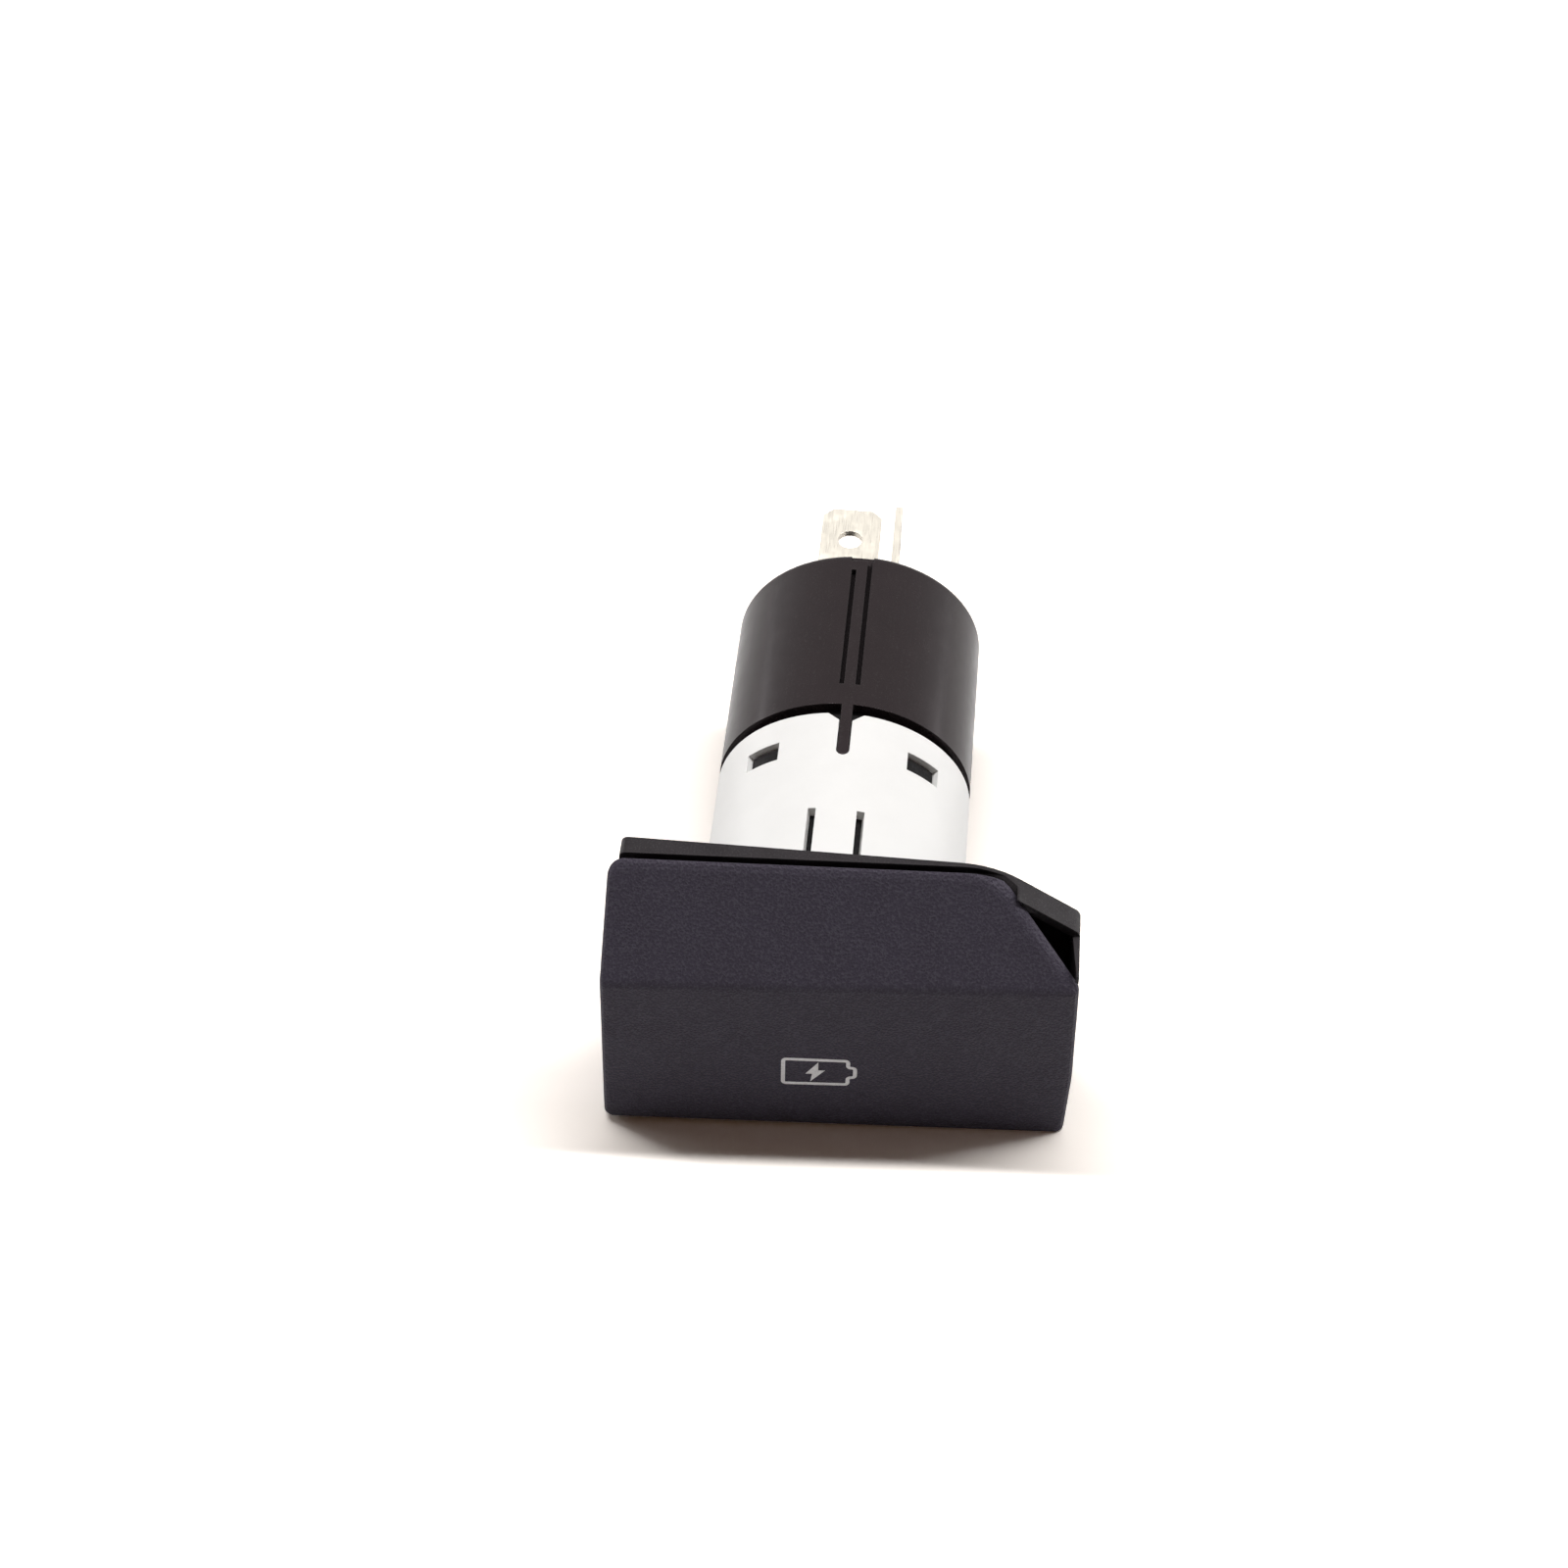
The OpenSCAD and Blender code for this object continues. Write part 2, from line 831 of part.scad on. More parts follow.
// Insulator of the flat port, a block with a tongue
module usb_a_tongue() {
    back = port_board_y - tongue_a_block;
    top = port_a_z + port_a_h / 2 - tongue_a_drop;
    color([0.9, 0.9, 0.88]) {
        block([-port_a_w / 2 + port_fit, back, port_a_z - port_a_h / 2 + port_fit],
            [port_a_w / 2 - port_fit, port_board_y, port_a_z + port_a_h / 2 - port_fit]);
        block([-tongue_a_w / 2, back - tongue_a_reach, top - tongue_a_t],
            [tongue_a_w / 2, back + over, top]);
    }
}

// Four contact strips under the flat port's tongue
module usb_a_contacts() {
    back = port_board_y - tongue_a_block;
    under = port_a_z + port_a_h / 2 - tongue_a_drop - tongue_a_t;
    color([0.85, 0.7, 0.35])
        for (x = contact_a_xs)
            block([x - contact_a_w / 2, back - tongue_a_reach + contact_a_back, under - contact_a_t],
                [x + contact_a_w / 2, back, under]);
}

// Drawn steel shell of the oval port
module usb_c_shell() {
    color([0.78, 0.78, 0.8])
        translate([0, 0, port_c_z])
            difference() {
                pill(port_c_w + 2 * shell_t, port_c_h + 2 * shell_t, port_front, port_board_y);
                pill(port_c_w, port_c_h, port_front - over, port_board_y + over);
            }
}

// Insulator of the oval port, a block with a thin tongue
module usb_c_tongue() {
    front = port_board_y - tongue_c_block;
    color([0.07, 0.07, 0.07])
        translate([0, 0, port_c_z]) {
            pill(port_c_w - 2 * port_fit, port_c_h - 2 * port_fit, front, port_board_y);
            block([-tongue_c_w / 2, front - tongue_c_reach, -tongue_c_t / 2],
                [tongue_c_w / 2, front + over, tongue_c_t / 2]);
        }
}

// Twelve contact strips on each side of the oval port's tongue
module usb_c_contacts() {
    back = port_board_y - tongue_c_block;
    middle = (contact_c_count - 1) / 2;
    color([0.85, 0.7, 0.35])
        for (side = [-1, 1], i = [0 : contact_c_count - 1])
            translate([(i - middle) * contact_c_pitch, 0, port_c_z + side * (tongue_c_t + contact_c_t) / 2])
                block([-contact_c_w / 2, back - tongue_c_reach + contact_c_back, -contact_c_t / 2],
                    [contact_c_w / 2, back, contact_c_t / 2]);
}

// Round board behind the ports
module port_board() {
    color([0.1, 0.35, 0.2])
        rod(front_bore_r - slip, port_board_y, port_board_y + board_t);
}

// Small lamps on the round board that light the ring
module ring_leds() {
    color([0.95, 0.93, 0.75])
        for (side = [-1, 1])
            translate([side * led_x, port_board_y, 0])
                block([-led_size.x / 2, -led_size.y, -led_size.z / 2], [led_size.x / 2, 0, led_size.z / 2]);
}

// Long board that carries the converter
module power_board() {
    color([0.1, 0.35, 0.2])
        block([-board_half_w, port_board_y + board_t, board_top - board_t],
            [board_half_w, power_board_end, board_top]);
}

// Pins that join the two boards
module board_pins() {
    color([0.85, 0.75, 0.45])
        for (i = [-2 : 2])
            translate([i * pin_pitch, port_board_y + board_t, board_top])
                block([-pin_w / 2, 0, 0], [pin_w / 2, pin_len, pin_w]);
}

// Shielded coil of the converter
module power_coil() {
    half = coil_size.x / 2;
    color([0.22, 0.22, 0.23])
        translate([0, coil_y, board_top])
            linear_extrude(coil_size.z)
                polygon(outline([[-half, -half], [half, -half], [half, half], [-half, half]],
                    [1, 1, 1, 1] * coil_corner));
}

// Two capacitors standing on the board
module capacitors() {
    color([0.8, 0.8, 0.82])
        for (side = [-1, 1])
            translate([side * can_x, can_y, board_top])
                difference() {
                    cylinder(r = can_r, h = can_h);
                    translate([0, 0, crimp_h])
                        rotate_extrude()
                            translate([can_r, 0])
                                circle(r = crimp_r, $fn = 24);
                }
}

// Converter chip under the board
module control_chip() {
    color([0.08, 0.08, 0.09])
        translate([0, chip_y, board_top - board_t - chip_lift - chip_size.z])
            block([-chip_size.x / 2, -chip_size.y / 2, 0], [chip_size.x / 2, chip_size.y / 2, chip_size.z]);
}

// Legs of the chip, four on each side
module chip_legs() {
    under = board_top - board_t;
    color([0.8, 0.8, 0.82])
        for (side = [-1, 1], i = [0 : 3])
            translate([(i - 1.5) * leg_pitch, chip_y + side * (chip_size.y + leg_size.y) / 2, under])
                block([-leg_size.x / 2, -leg_size.y / 2, -leg_size.z], [leg_size.x / 2, leg_size.y / 2, 0]);
}

// Power diode under the board
module diode() {
    color([0.1, 0.1, 0.1])
        translate([0, diode_y, board_top - board_t - diode_size.z])
            block([-diode_size.x / 2, -diode_size.y / 2, 0],
                [diode_size.x / 2, diode_size.y / 2, diode_size.z]);
}

// Carrier that closes the barrel and holds both blades
module blade_carrier() {
    left = live_x - blade_w / 2 - boss_side;
    right = ground_x + blade_t / 2 + boss_rim;
    low = ground_z - blade_w / 2 - boss_rim;
    high = ground_z + blade_w / 2 + boss_lip;
    room = slip / 2;
    color([0.12, 0.12, 0.12])
        difference() {
            union() {
                rod(inner_r, inner_end, inner_end + carrier_t);
                slab(outline([[left, low], [right, low], [right, high], [left, high]],
                    [1, 1, 1, 1] * boss_corner), inner_end + boss_overlap, boss_end);
            }
            block([live_x - blade_w / 2 - room, -far, live_z - blade_t / 2 - room],
                [live_x + blade_w / 2 + room, far, live_z + blade_t / 2 + room]);
            block([ground_x - blade_t / 2 - room, -far, ground_z - blade_w / 2 - room],
                [ground_x + blade_t / 2 + room, far, ground_z + blade_w / 2 + room]);
        }
}

// Flat strip with two cut corners and a hole near its end, drawn from its root
module blade_strip(length) {
    half = blade_w / 2;
    linear_extrude(blade_t)
        difference() {
            polygon([
                [-half, 0], [half, 0], [half, length - blade_corner], [half - blade_corner, length],
                [-half + blade_corner, length], [-half, length - blade_corner]
            ]);
            translate([0, length - blade_hole_back])
                circle(r = blade_hole_r, $fn = 48);
        }
}

// Live blade, flat side up, with a tail down to the board
module live_blade() {
    color([0.82, 0.8, 0.7]) {
        translate([live_x, blade_start, live_z - blade_t / 2])
            blade_strip(blade_end - blade_start);
        block([live_x - tail_w / 2, blade_start, board_top],
            [live_x + tail_w / 2, blade_start + blade_t, live_z]);
    }
}

// Ground blade, on edge, with a tail down to the board
module ground_blade() {
    color([0.82, 0.8, 0.7]) {
        translate([ground_x - blade_t / 2, blade_start, ground_z])
            rotate([0, 90, 0])
                blade_strip(blade_end - blade_start);
        block([ground_x - blade_t / 2, blade_start, board_top],
            [ground_x + blade_t / 2, blade_start + tail_w, ground_z]);
    }
}

frame();
lid_shell();
lid_liner();
hinge_pin();
catch_spring();
lid_buffers();
light_ring();
barrel();
inner_body();
usb_face();
usb_a_shell();
usb_a_tongue();
usb_a_contacts();
usb_c_shell();
usb_c_tongue();
usb_c_contacts();
port_board();
ring_leds();
power_board();
board_pins();
power_coil();
capacitors();
control_chip();
chip_legs();
diode();
blade_carrier();
live_blade();
ground_blade();
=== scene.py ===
"""Visual model of a car charging socket with a hinged, faceted cover.

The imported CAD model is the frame. This script gives every node its finish, prints the
mark on the cover, grows the solder joints and small parts on the long board, and sets
up the studio.
"""

from __future__ import annotations

import json
import logging
import math
from dataclasses import dataclass
from enum import Enum

import bmesh
import bpy
from mathutils import Matrix, Vector
from mathutils.bvhtree import BVHTree

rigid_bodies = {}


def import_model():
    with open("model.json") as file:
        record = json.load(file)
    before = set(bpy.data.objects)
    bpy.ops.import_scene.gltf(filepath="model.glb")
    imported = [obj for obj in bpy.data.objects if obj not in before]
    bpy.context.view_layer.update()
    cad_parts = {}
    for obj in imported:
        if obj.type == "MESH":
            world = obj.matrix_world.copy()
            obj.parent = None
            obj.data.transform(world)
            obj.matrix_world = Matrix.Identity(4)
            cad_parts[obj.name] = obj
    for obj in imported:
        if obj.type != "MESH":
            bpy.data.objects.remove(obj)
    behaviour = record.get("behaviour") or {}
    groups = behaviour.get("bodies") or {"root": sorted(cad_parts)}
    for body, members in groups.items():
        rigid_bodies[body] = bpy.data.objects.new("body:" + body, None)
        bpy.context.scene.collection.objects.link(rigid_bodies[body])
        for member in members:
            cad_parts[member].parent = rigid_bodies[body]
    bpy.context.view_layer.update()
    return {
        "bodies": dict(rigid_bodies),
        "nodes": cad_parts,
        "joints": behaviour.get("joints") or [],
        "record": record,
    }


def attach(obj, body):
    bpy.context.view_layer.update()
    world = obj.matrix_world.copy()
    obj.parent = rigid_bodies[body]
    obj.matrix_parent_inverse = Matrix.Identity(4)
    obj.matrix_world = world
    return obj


LOG = logging.getLogger("charging_socket")
MM = 0.001
BEVEL_SAMPLES = 6
Triple = tuple[float, float, float]


class Body(Enum):
    """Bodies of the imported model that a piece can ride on."""

    SOCKET = "socket"
    COVER = "cover"


class Grain(Enum):
    """Kinds of fine relief on a moulded or machined surface."""

    LEATHER = "leather"
    SPARK = "spark"
    BRUSHED = "brushed"


class ShaderSheet:
    """A new material with a few short calls for adding and joining nodes."""

    def __init__(self, name: str) -> None:
        """Starts an empty material with a Principled shader.

        Args:
            name: Name of the material.
        """
        self.material = bpy.data.materials.new(name)
        self.material.use_nodes = True
        self.tree = self.material.node_tree
        self.shader = self.tree.nodes["Principled BSDF"]
        self.point = self.node("ShaderNodeTexCoord").outputs["Object"]

    def node(self, kind: str, **settings: object) -> bpy.types.Node:
        """Adds a node.

        Args:
            kind: Blender's name of the node type.
            **settings: Attributes to set on the node.

        Returns:
            The new node.
        """
        made = self.tree.nodes.new(kind)
        for key, value in settings.items():
            setattr(made, key, value)
        return made

    def join(self, source: object, target: bpy.types.NodeSocket) -> None:
        """Links an output to an input, or sets the input to a plain value.

        Args:
            source: An output socket, a number or a tuple.
            target: The input socket.
        """
        if isinstance(source, bpy.types.NodeSocket):
            self.tree.links.new(source, target)
        else:
            target.default_value = source

    def stretched(self, factors: Triple, turn: Triple = (0.0, 0.0, 0.0)) -> bpy.types.NodeSocket:
        """Object coordinates, turned and then stretched.

        Args:
            factors: Scale along X, Y and Z.
            turn: Turn about X, Y and Z in radians.

        Returns:
            The new coordinates.
        """
        mapping = self.node("ShaderNodeMapping")
        self.join(self.point, mapping.inputs["Vector"])
        mapping.inputs["Scale"].default_value = factors
        mapping.inputs["Rotation"].default_value = turn
        return mapping.outputs["Vector"]

    def noise(self, size: float, detail: float = 3.0, rough: float = 0.55,
              point: bpy.types.NodeSocket | None = None) -> bpy.types.NodeSocket:
        """Soft noise between 0 and 1.

        Args:
            size: Width of one blotch in metres.
            detail: Number of finer layers.
            rough: Weight of the finer layers.
            point: Coordinates, or None for the object's own.

        Returns:
            The noise value.
        """
        made = self.node("ShaderNodeTexNoise")
        self.join(point or self.point, made.inputs["Vector"])
        made.inputs["Scale"].default_value = 1.0 / size
        made.inputs["Detail"].default_value = detail
        made.inputs["Roughness"].default_value = rough
        return made.outputs["Fac"]

    def cells(self, size: float, spread: float = 1.0) -> bpy.types.NodeSocket:
        """Distance within a field of cells.

        Args:
            size: Width of one cell in metres.
            spread: How far the cells' centres stray, from 0 to 1.

        Returns:
            The distance value.
        """
        made = self.node("ShaderNodeTexVoronoi")
        self.join(self.point, made.inputs["Vector"])
        made.inputs["Scale"].default_value = 1.0 / size
        made.inputs["Randomness"].default_value = spread
        return made.outputs["Distance"]

    def ramp(self, value: object, low: float, high: float, first: float = 0.0,
             last: float = 1.0) -> bpy.types.NodeSocket:
        """Maps low..high smoothly to first..last.

        Args:
            value: Value to map.
            low: Value that gives first.
            high: Value that gives last.
            first: Result at low.
            last: Result at high.

        Returns:
            The mapped value.
        """
        made = self.node("ShaderNodeMapRange", interpolation_type="SMOOTHSTEP")
        self.join(value, made.inputs["Value"])
        limits = {"From Min": low, "From Max": high, "To Min": first, "To Max": last}
        for name, number in limits.items():
            made.inputs[name].default_value = number
        return made.outputs["Result"]

    def maths(self, operation: str, first: object, second: object) -> bpy.types.NodeSocket:
        """One step of arithmetic.

        Args:
            operation: Name of the operation.
            first: First value.
            second: Second value.

        Returns:
            The result.
        """
        made = self.node("ShaderNodeMath", operation=operation)
        self.join(first, made.inputs[0])
        self.join(second, made.inputs[1])
        return made.outputs[0]

    def mix(self, amount: object, first: object, second: object) -> bpy.types.NodeSocket:
        """Mixes two colours.

        Args:
            amount: Share of the second colour.
            first: First colour, as an output or three numbers.
            second: Second colour, as an output or three numbers.

        Returns:
            The mixed colour.
        """
        made = self.node("ShaderNodeMix", data_type="RGBA")
        self.join(amount, made.inputs["Factor"])
        for value, target in ((first, made.inputs[6]), (second, made.inputs[7])):
            self.join(value if isinstance(value, bpy.types.NodeSocket) else (*value, 1.0), target)
        return made.outputs[2]

    def edge_mask(self, radius: float) -> bpy.types.NodeSocket:
        """How close a point lies to a sharp edge, from 0 to 1.

        Args:
            radius: Reach of the mask in metres.

        Returns:
            The mask.
        """
        rounded = self.node("ShaderNodeBevel", samples=BEVEL_SAMPLES)
        rounded.inputs["Radius"].default_value = radius
        plain = self.node("ShaderNodeNewGeometry").outputs["Normal"]
        facing = self.node("ShaderNodeVectorMath", operation="DOT_PRODUCT")
        self.join(rounded.outputs["Normal"], facing.inputs[0])
        self.join(plain, facing.inputs[1])
        return self.ramp(facing.outputs["Value"], 0.995, 0.86)

    def hollow_shade_mask(self, reach: float) -> bpy.types.NodeSocket:
        """How deep a point lies in a groove or slot, from 0 to 1, by how much nearby surfaces shut
        it in; used for painted shade.

        Args:
            reach: Width of the widest groove that counts, in metres.

        Returns:
            The mask.
        """
        made = self.node("ShaderNodeAmbientOcclusion", samples=8, only_local=True)
        made.inputs["Distance"].default_value = reach
        return self.ramp(made.outputs["AO"], 0.8, 0.4)

    def relief(self, height: object, depth: float, edge: float) -> None:
        """Sets the shader's normal from a height and a small edge rounding.

        Args:
            height: Height between 0 and 1.
            depth: Depth of the relief in metres.
            edge: Radius of the edge rounding in metres.
        """
        bump = self.node("ShaderNodeBump")
        self.join(height, bump.inputs["Height"])
        bump.inputs["Distance"].default_value = depth
        rounded = self.node("ShaderNodeBevel", samples=BEVEL_SAMPLES)
        rounded.inputs["Radius"].default_value = edge
        self.join(rounded.outputs["Normal"], bump.inputs["Normal"])
        self.join(bump.outputs["Normal"], self.shader.inputs["Normal"])


class GrowthSheet:
    """A new Geometry Nodes tree that grows one piece from a seed mesh."""

    def __init__(self, name: str) -> None:
        """Starts a tree with its seed geometry as the only input.

        Args:
            name: Name of the piece and of its tree.
        """
        self.name = name
        self.tree = bpy.data.node_groups.new(name, "GeometryNodeTree")
        self.settings: dict[str, object] = {}
        self.tree.interface.new_socket("Seed", in_out="INPUT", socket_type="NodeSocketGeometry")
        self.tree.interface.new_socket("Piece", in_out="OUTPUT", socket_type="NodeSocketGeometry")
        self.source = self.tree.nodes.new("NodeGroupInput")
        self.sink = self.tree.nodes.new("NodeGroupOutput")
        self.seed = self.source.outputs["Seed"]

    def setting(self, name: str, value: object, kind: str = "Float") -> bpy.types.NodeSocket:
        """Adds a named input and notes the value that the modifier gives it.

        Args:
            name: Name of the input.
            value: Value for this piece.
            kind: Blender's name of the socket type, without its prefix.

        Returns:
            The input as seen from inside the tree.
        """
        item = self.tree.interface.new_socket(name, in_out="INPUT", socket_type="NodeSocket" + kind)
        self.settings[item.identifier] = value
        return self.source.outputs[name]

    def step(self, kind: str, inputs: dict[str | int, object], out: str | int = 0,
             **attributes: object) -> bpy.types.NodeSocket:
        """Adds a node and fills its inputs.

        Args:
            kind: Blender's name of the node type.
            inputs: A socket, a list of sockets or a plain value for each input.
            out: Output to return.
            **attributes: Attributes to set on the node.

        Returns:
            The chosen output.
        """
        made = self.tree.nodes.new(kind)
        for key, value in attributes.items():
            setattr(made, key, value)
        for key, value in inputs.items():
            sources = value if isinstance(value, list) else [value]
            for source in sources:
                if isinstance(source, bpy.types.NodeSocket):
                    self.tree.links.new(source, made.inputs[key])
                else:
                    made.inputs[key].default_value = source
        return made.outputs[out]

    def times(self, first: object, second: object) -> bpy.types.NodeSocket:
        """Multiplies two numbers.

        Args:
            first: First number.
            second: Second number.

        Returns:
            The product.
        """
        return self.step("ShaderNodeMath", {0: first, 1: second}, operation="MULTIPLY")

    def scaled(self, vector: bpy.types.NodeSocket, factors: Triple) -> bpy.types.NodeSocket:
        """Multiplies a vector by three factors.

        Args:
            vector: The vector.
            factors: Factor along X, Y and Z.

        Returns:
            The scaled vector.
        """
        return self.step("ShaderNodeVectorMath", {0: vector, 1: factors}, operation="MULTIPLY")

    def grow(self, points: list[Vector], edges: list[tuple[int, int]], result: bpy.types.NodeSocket,
             material: bpy.types.Material, flags: list[bool] | None = None) -> bpy.types.Object:
        """Evaluates the tree on a seed mesh and keeps the result as a plain mesh.

        Args:
            points: Points of the seed mesh, in metres.
            edges: Edges of the seed mesh.
            result: The grown geometry inside the tree.
            material: Material of the whole piece.
            flags: Value of the "flag" attribute at each point.

        Returns:
            The new object, linked to the scene.
        """
        coat = self.setting("Material", material, "Material")
        real = self.step("GeometryNodeRealizeInstances", {"Geometry": result})
        coated = self.step("GeometryNodeSetMaterial", {"Geometry": real, "Material": coat})
        self.tree.links.new(coated, self.sink.inputs["Piece"])
        mesh = bpy.data.meshes.new(self.name + "_seed")
        mesh.from_pydata(points, edges, [])
        if flags:
            mesh.attributes.new("flag", "BOOLEAN", "POINT").data.foreach_set("value", flags)
        piece = bpy.data.objects.new(self.name, mesh)
        bpy.context.scene.collection.objects.link(piece)
        growth = piece.modifiers.new("growth", "NODES")
        growth.node_group = self.tree
        for identifier, value in self.settings.items():
            growth[identifier] = value
        grown = piece.evaluated_get(bpy.context.evaluated_depsgraph_get())
        body = bpy.data.meshes.new_from_object(grown)
        piece.modifiers.remove(growth)
        piece.data = body
        LOG.info("piece %s: %d points grown", piece.name, len(body.vertices))
        return piece


@dataclass(frozen=True)
class MouldedFinish:
    """Moulded plastic or rubber with a fine grain, uneven tone, rubbed edges, painted highlights
    and painted shade in hollows.

    Sizes, depths and reaches are in metres. Two shares set how much of the worn colour the edges
    and the grain's peaks take: on the edges it is rubbed wear and also a painted highlight, on the
    peaks a painted highlight. A third share sets how much of the dark colour is painted as shade
    into hollows.
    """

    name: str
    colour: Triple
    shade: Triple
    # Worn colour, also used as a painted highlight on edges and on the grain's peaks.
    worn_and_highlight: Triple
    rough: float
    rough_spread: float = 0.08
    grain: Grain = Grain.SPARK
    grain_size: float = 0.3 * MM
    grain_depth: float = 0.008 * MM
    edge: float = 0.12 * MM
    # Share of the worn colour on edges, as rubbed wear and a painted edge highlight.
    wear_and_highlight: float = 0.5
    level: float = 0.5
    tint: Triple = (1.0, 1.0, 1.0)
    # Reach of the painted shade in hollows, in metres; 0 paints none.
    painted_shade_reach: float = 0.0
    cloud_size: float = 6.0 * MM
    # Size of the breaks and reach of the edge band that takes the worn colour, as wear and painted
    # highlight.
    edge_breakup_size: float = 1.4 * MM
    edge_wear_and_highlight_reach: float = 0.25 * MM
    sheen_size: float = 2.5 * MM
    # Share of the worn colour painted as a highlight on the grain's peaks.
    lift: float = 0.35
    # Share and colour of the painted shade in hollows.
    hollow_shade: float = 0.9
    hollow_shade_colour: Triple = (0.0005, 0.0004, 0.0005)

    def build(self) -> bpy.types.Material:
        """Makes the material.

        Returns:
            The finished material.
        """
        sheet = ShaderSheet(self.name)
        cloud = sheet.ramp(sheet.noise(self.cloud_size, 4.0), 0.35, 0.65)
        specks = sheet.ramp(sheet.noise(self.grain_size, 2.0), 0.35, 0.7)
        if self.grain is Grain.LEATHER:
            pits = sheet.ramp(sheet.cells(self.grain_size * 1.6), 0.05, 0.75)
            height = sheet.maths("ADD", sheet.maths("MULTIPLY", pits, 0.65),
                                 sheet.maths("MULTIPLY", specks, 0.35))
        elif self.grain is Grain.BRUSHED:
            streaks = sheet.noise(self.grain_size, 3.0, point=sheet.stretched((1.0, 0.04, 1.0)))
            height = sheet.maths("ADD", sheet.maths("MULTIPLY", streaks, 0.6),
                                 sheet.maths("MULTIPLY", specks, 0.4))
        else:
            height = specks
        tone = sheet.mix(cloud, self.colour, self.shade)
        # Edges take the worn colour in broken patches: partly rubbed wear, partly a painted edge
        # highlight.
        edge_breakup = sheet.ramp(sheet.noise(self.edge_breakup_size, 5.0, 0.7), 0.4, 0.62)
        rubbed_and_highlit = sheet.maths("MULTIPLY", sheet.edge_mask(self.edge_wear_and_highlight_reach), edge_breakup)
        tone = sheet.mix(sheet.maths("MULTIPLY", rubbed_and_highlit, self.wear_and_highlight), tone, self.worn_and_highlight)
        # Painted highlight: the grain's peaks are lightened toward the worn colour, as sparkle.
        peak_highlight = sheet.maths("MULTIPLY", sheet.ramp(height, 0.55, 0.95), self.lift)
        tone = sheet.mix(peak_highlight, tone, self.worn_and_highlight)
        low, high = self.rough - self.rough_spread, self.rough + self.rough_spread
        rough = sheet.ramp(sheet.noise(self.sheen_size, 4.0), 0.3, 0.7, low, high)
        # Painted shade: where nearby surfaces shut a point in, the colour darkens toward the dark
        # colour and the surface gets rougher.
        if self.painted_shade_reach:
            shaded_hollow = sheet.hollow_shade_mask(self.painted_shade_reach)
            tone = sheet.mix(sheet.maths("MULTIPLY", shaded_hollow, self.hollow_shade), tone, self.hollow_shade_colour)
            rough = sheet.maths("ADD", rough, shaded_hollow)
        sheet.join(tone, sheet.shader.inputs["Base Color"])
        sheet.join(rough, sheet.shader.inputs["Roughness"])
        sheet.shader.inputs["Specular IOR Level"].default_value = self.level
        sheet.shader.inputs["Specular Tint"].default_value = (*self.tint, 1.0)
        sheet.relief(height, self.grain_depth, self.edge)
        return sheet.material


@dataclass(frozen=True)
class MetalFinish:
    """Rolled, plated or drawn metal with brush lines and a little tarnish."""

    name: str
    colour: Triple
    tarnish: Triple
    rough: float
    lines: Triple = (1.0, 0.05, 1.0)
    line_size: float = 0.12 * MM
    line_depth: float = 0.002 * MM
    spot_size: float = 2.2 * MM
    spots: float = 0.35
    edge: float = 0.06 * MM

    def build(self) -> bpy.types.Material:
        """Makes the material.

        Returns:
            The finished material.
        """
        sheet = ShaderSheet(self.name)
        streaks = sheet.noise(self.line_size, 3.0, point=sheet.stretched(self.lines))
        clouds = sheet.ramp(sheet.noise(self.spot_size, 5.0, 0.65), 0.45, 0.75)
        tone = sheet.mix(sheet.maths("MULTIPLY", clouds, self.spots), self.colour, self.tarnish)
        sheet.join(tone, sheet.shader.inputs["Base Color"])
        sheet.shader.inputs["Metallic"].default_value = 1.0
        low = sheet.ramp(streaks, 0.3, 0.7, self.rough - 0.06, self.rough + 0.08)
        sheet.join(sheet.maths("ADD", low, sheet.maths("MULTIPLY", clouds, 0.12)),
                   sheet.shader.inputs["Roughness"])
        sheet.relief(streaks, self.line_depth, self.edge)
        return sheet.material


@dataclass(frozen=True)
class BoardFinish:
    """Green solder mask over copper tracks, with bare pads."""

    name: str = "solder_mask"
    mask: Triple = (0.012, 0.09, 0.04)
    track: Triple = (0.03, 0.17, 0.07)
    pad: Triple = (0.62, 0.58, 0.5)

    def build(self) -> bpy.types.Material:
        """Makes the material.

        Returns:
            The finished material.
        """
        sheet = ShaderSheet(self.name)
        bricks = sheet.node("ShaderNodeTexBrick", offset=0.37)
        sheet.join(sheet.stretched((1.0, 1.0, 1.0), (0.0, 0.0, math.radians(90.0))),
                   bricks.inputs["Vector"])
        sizes = {"Scale": 260.0, "Mortar Size": 0.05, "Brick Width": 1.9, "Row Height": 0.42}
        for key, value in sizes.items():
            bricks.inputs[key].default_value = value
        tracks = sheet.ramp(bricks.outputs["Fac"], 0.2, 0.8)
        tone = sheet.mix(tracks, self.track, self.mask)
        pads = sheet.ramp(sheet.cells(2.6 * MM, spread=0.55), 0.13, 0.1)
        sheet.join(sheet.mix(pads, tone, self.pad), sheet.shader.inputs["Base Color"])
        sheet.join(pads, sheet.shader.inputs["Metallic"])
        sheet.join(sheet.ramp(sheet.noise(1.5 * MM), 0.3, 0.7, 0.24, 0.4),
                   sheet.shader.inputs["Roughness"])
        sheet.relief(sheet.maths("ADD", tracks, pads), 0.02 * MM, 0.05 * MM)
        return sheet.material


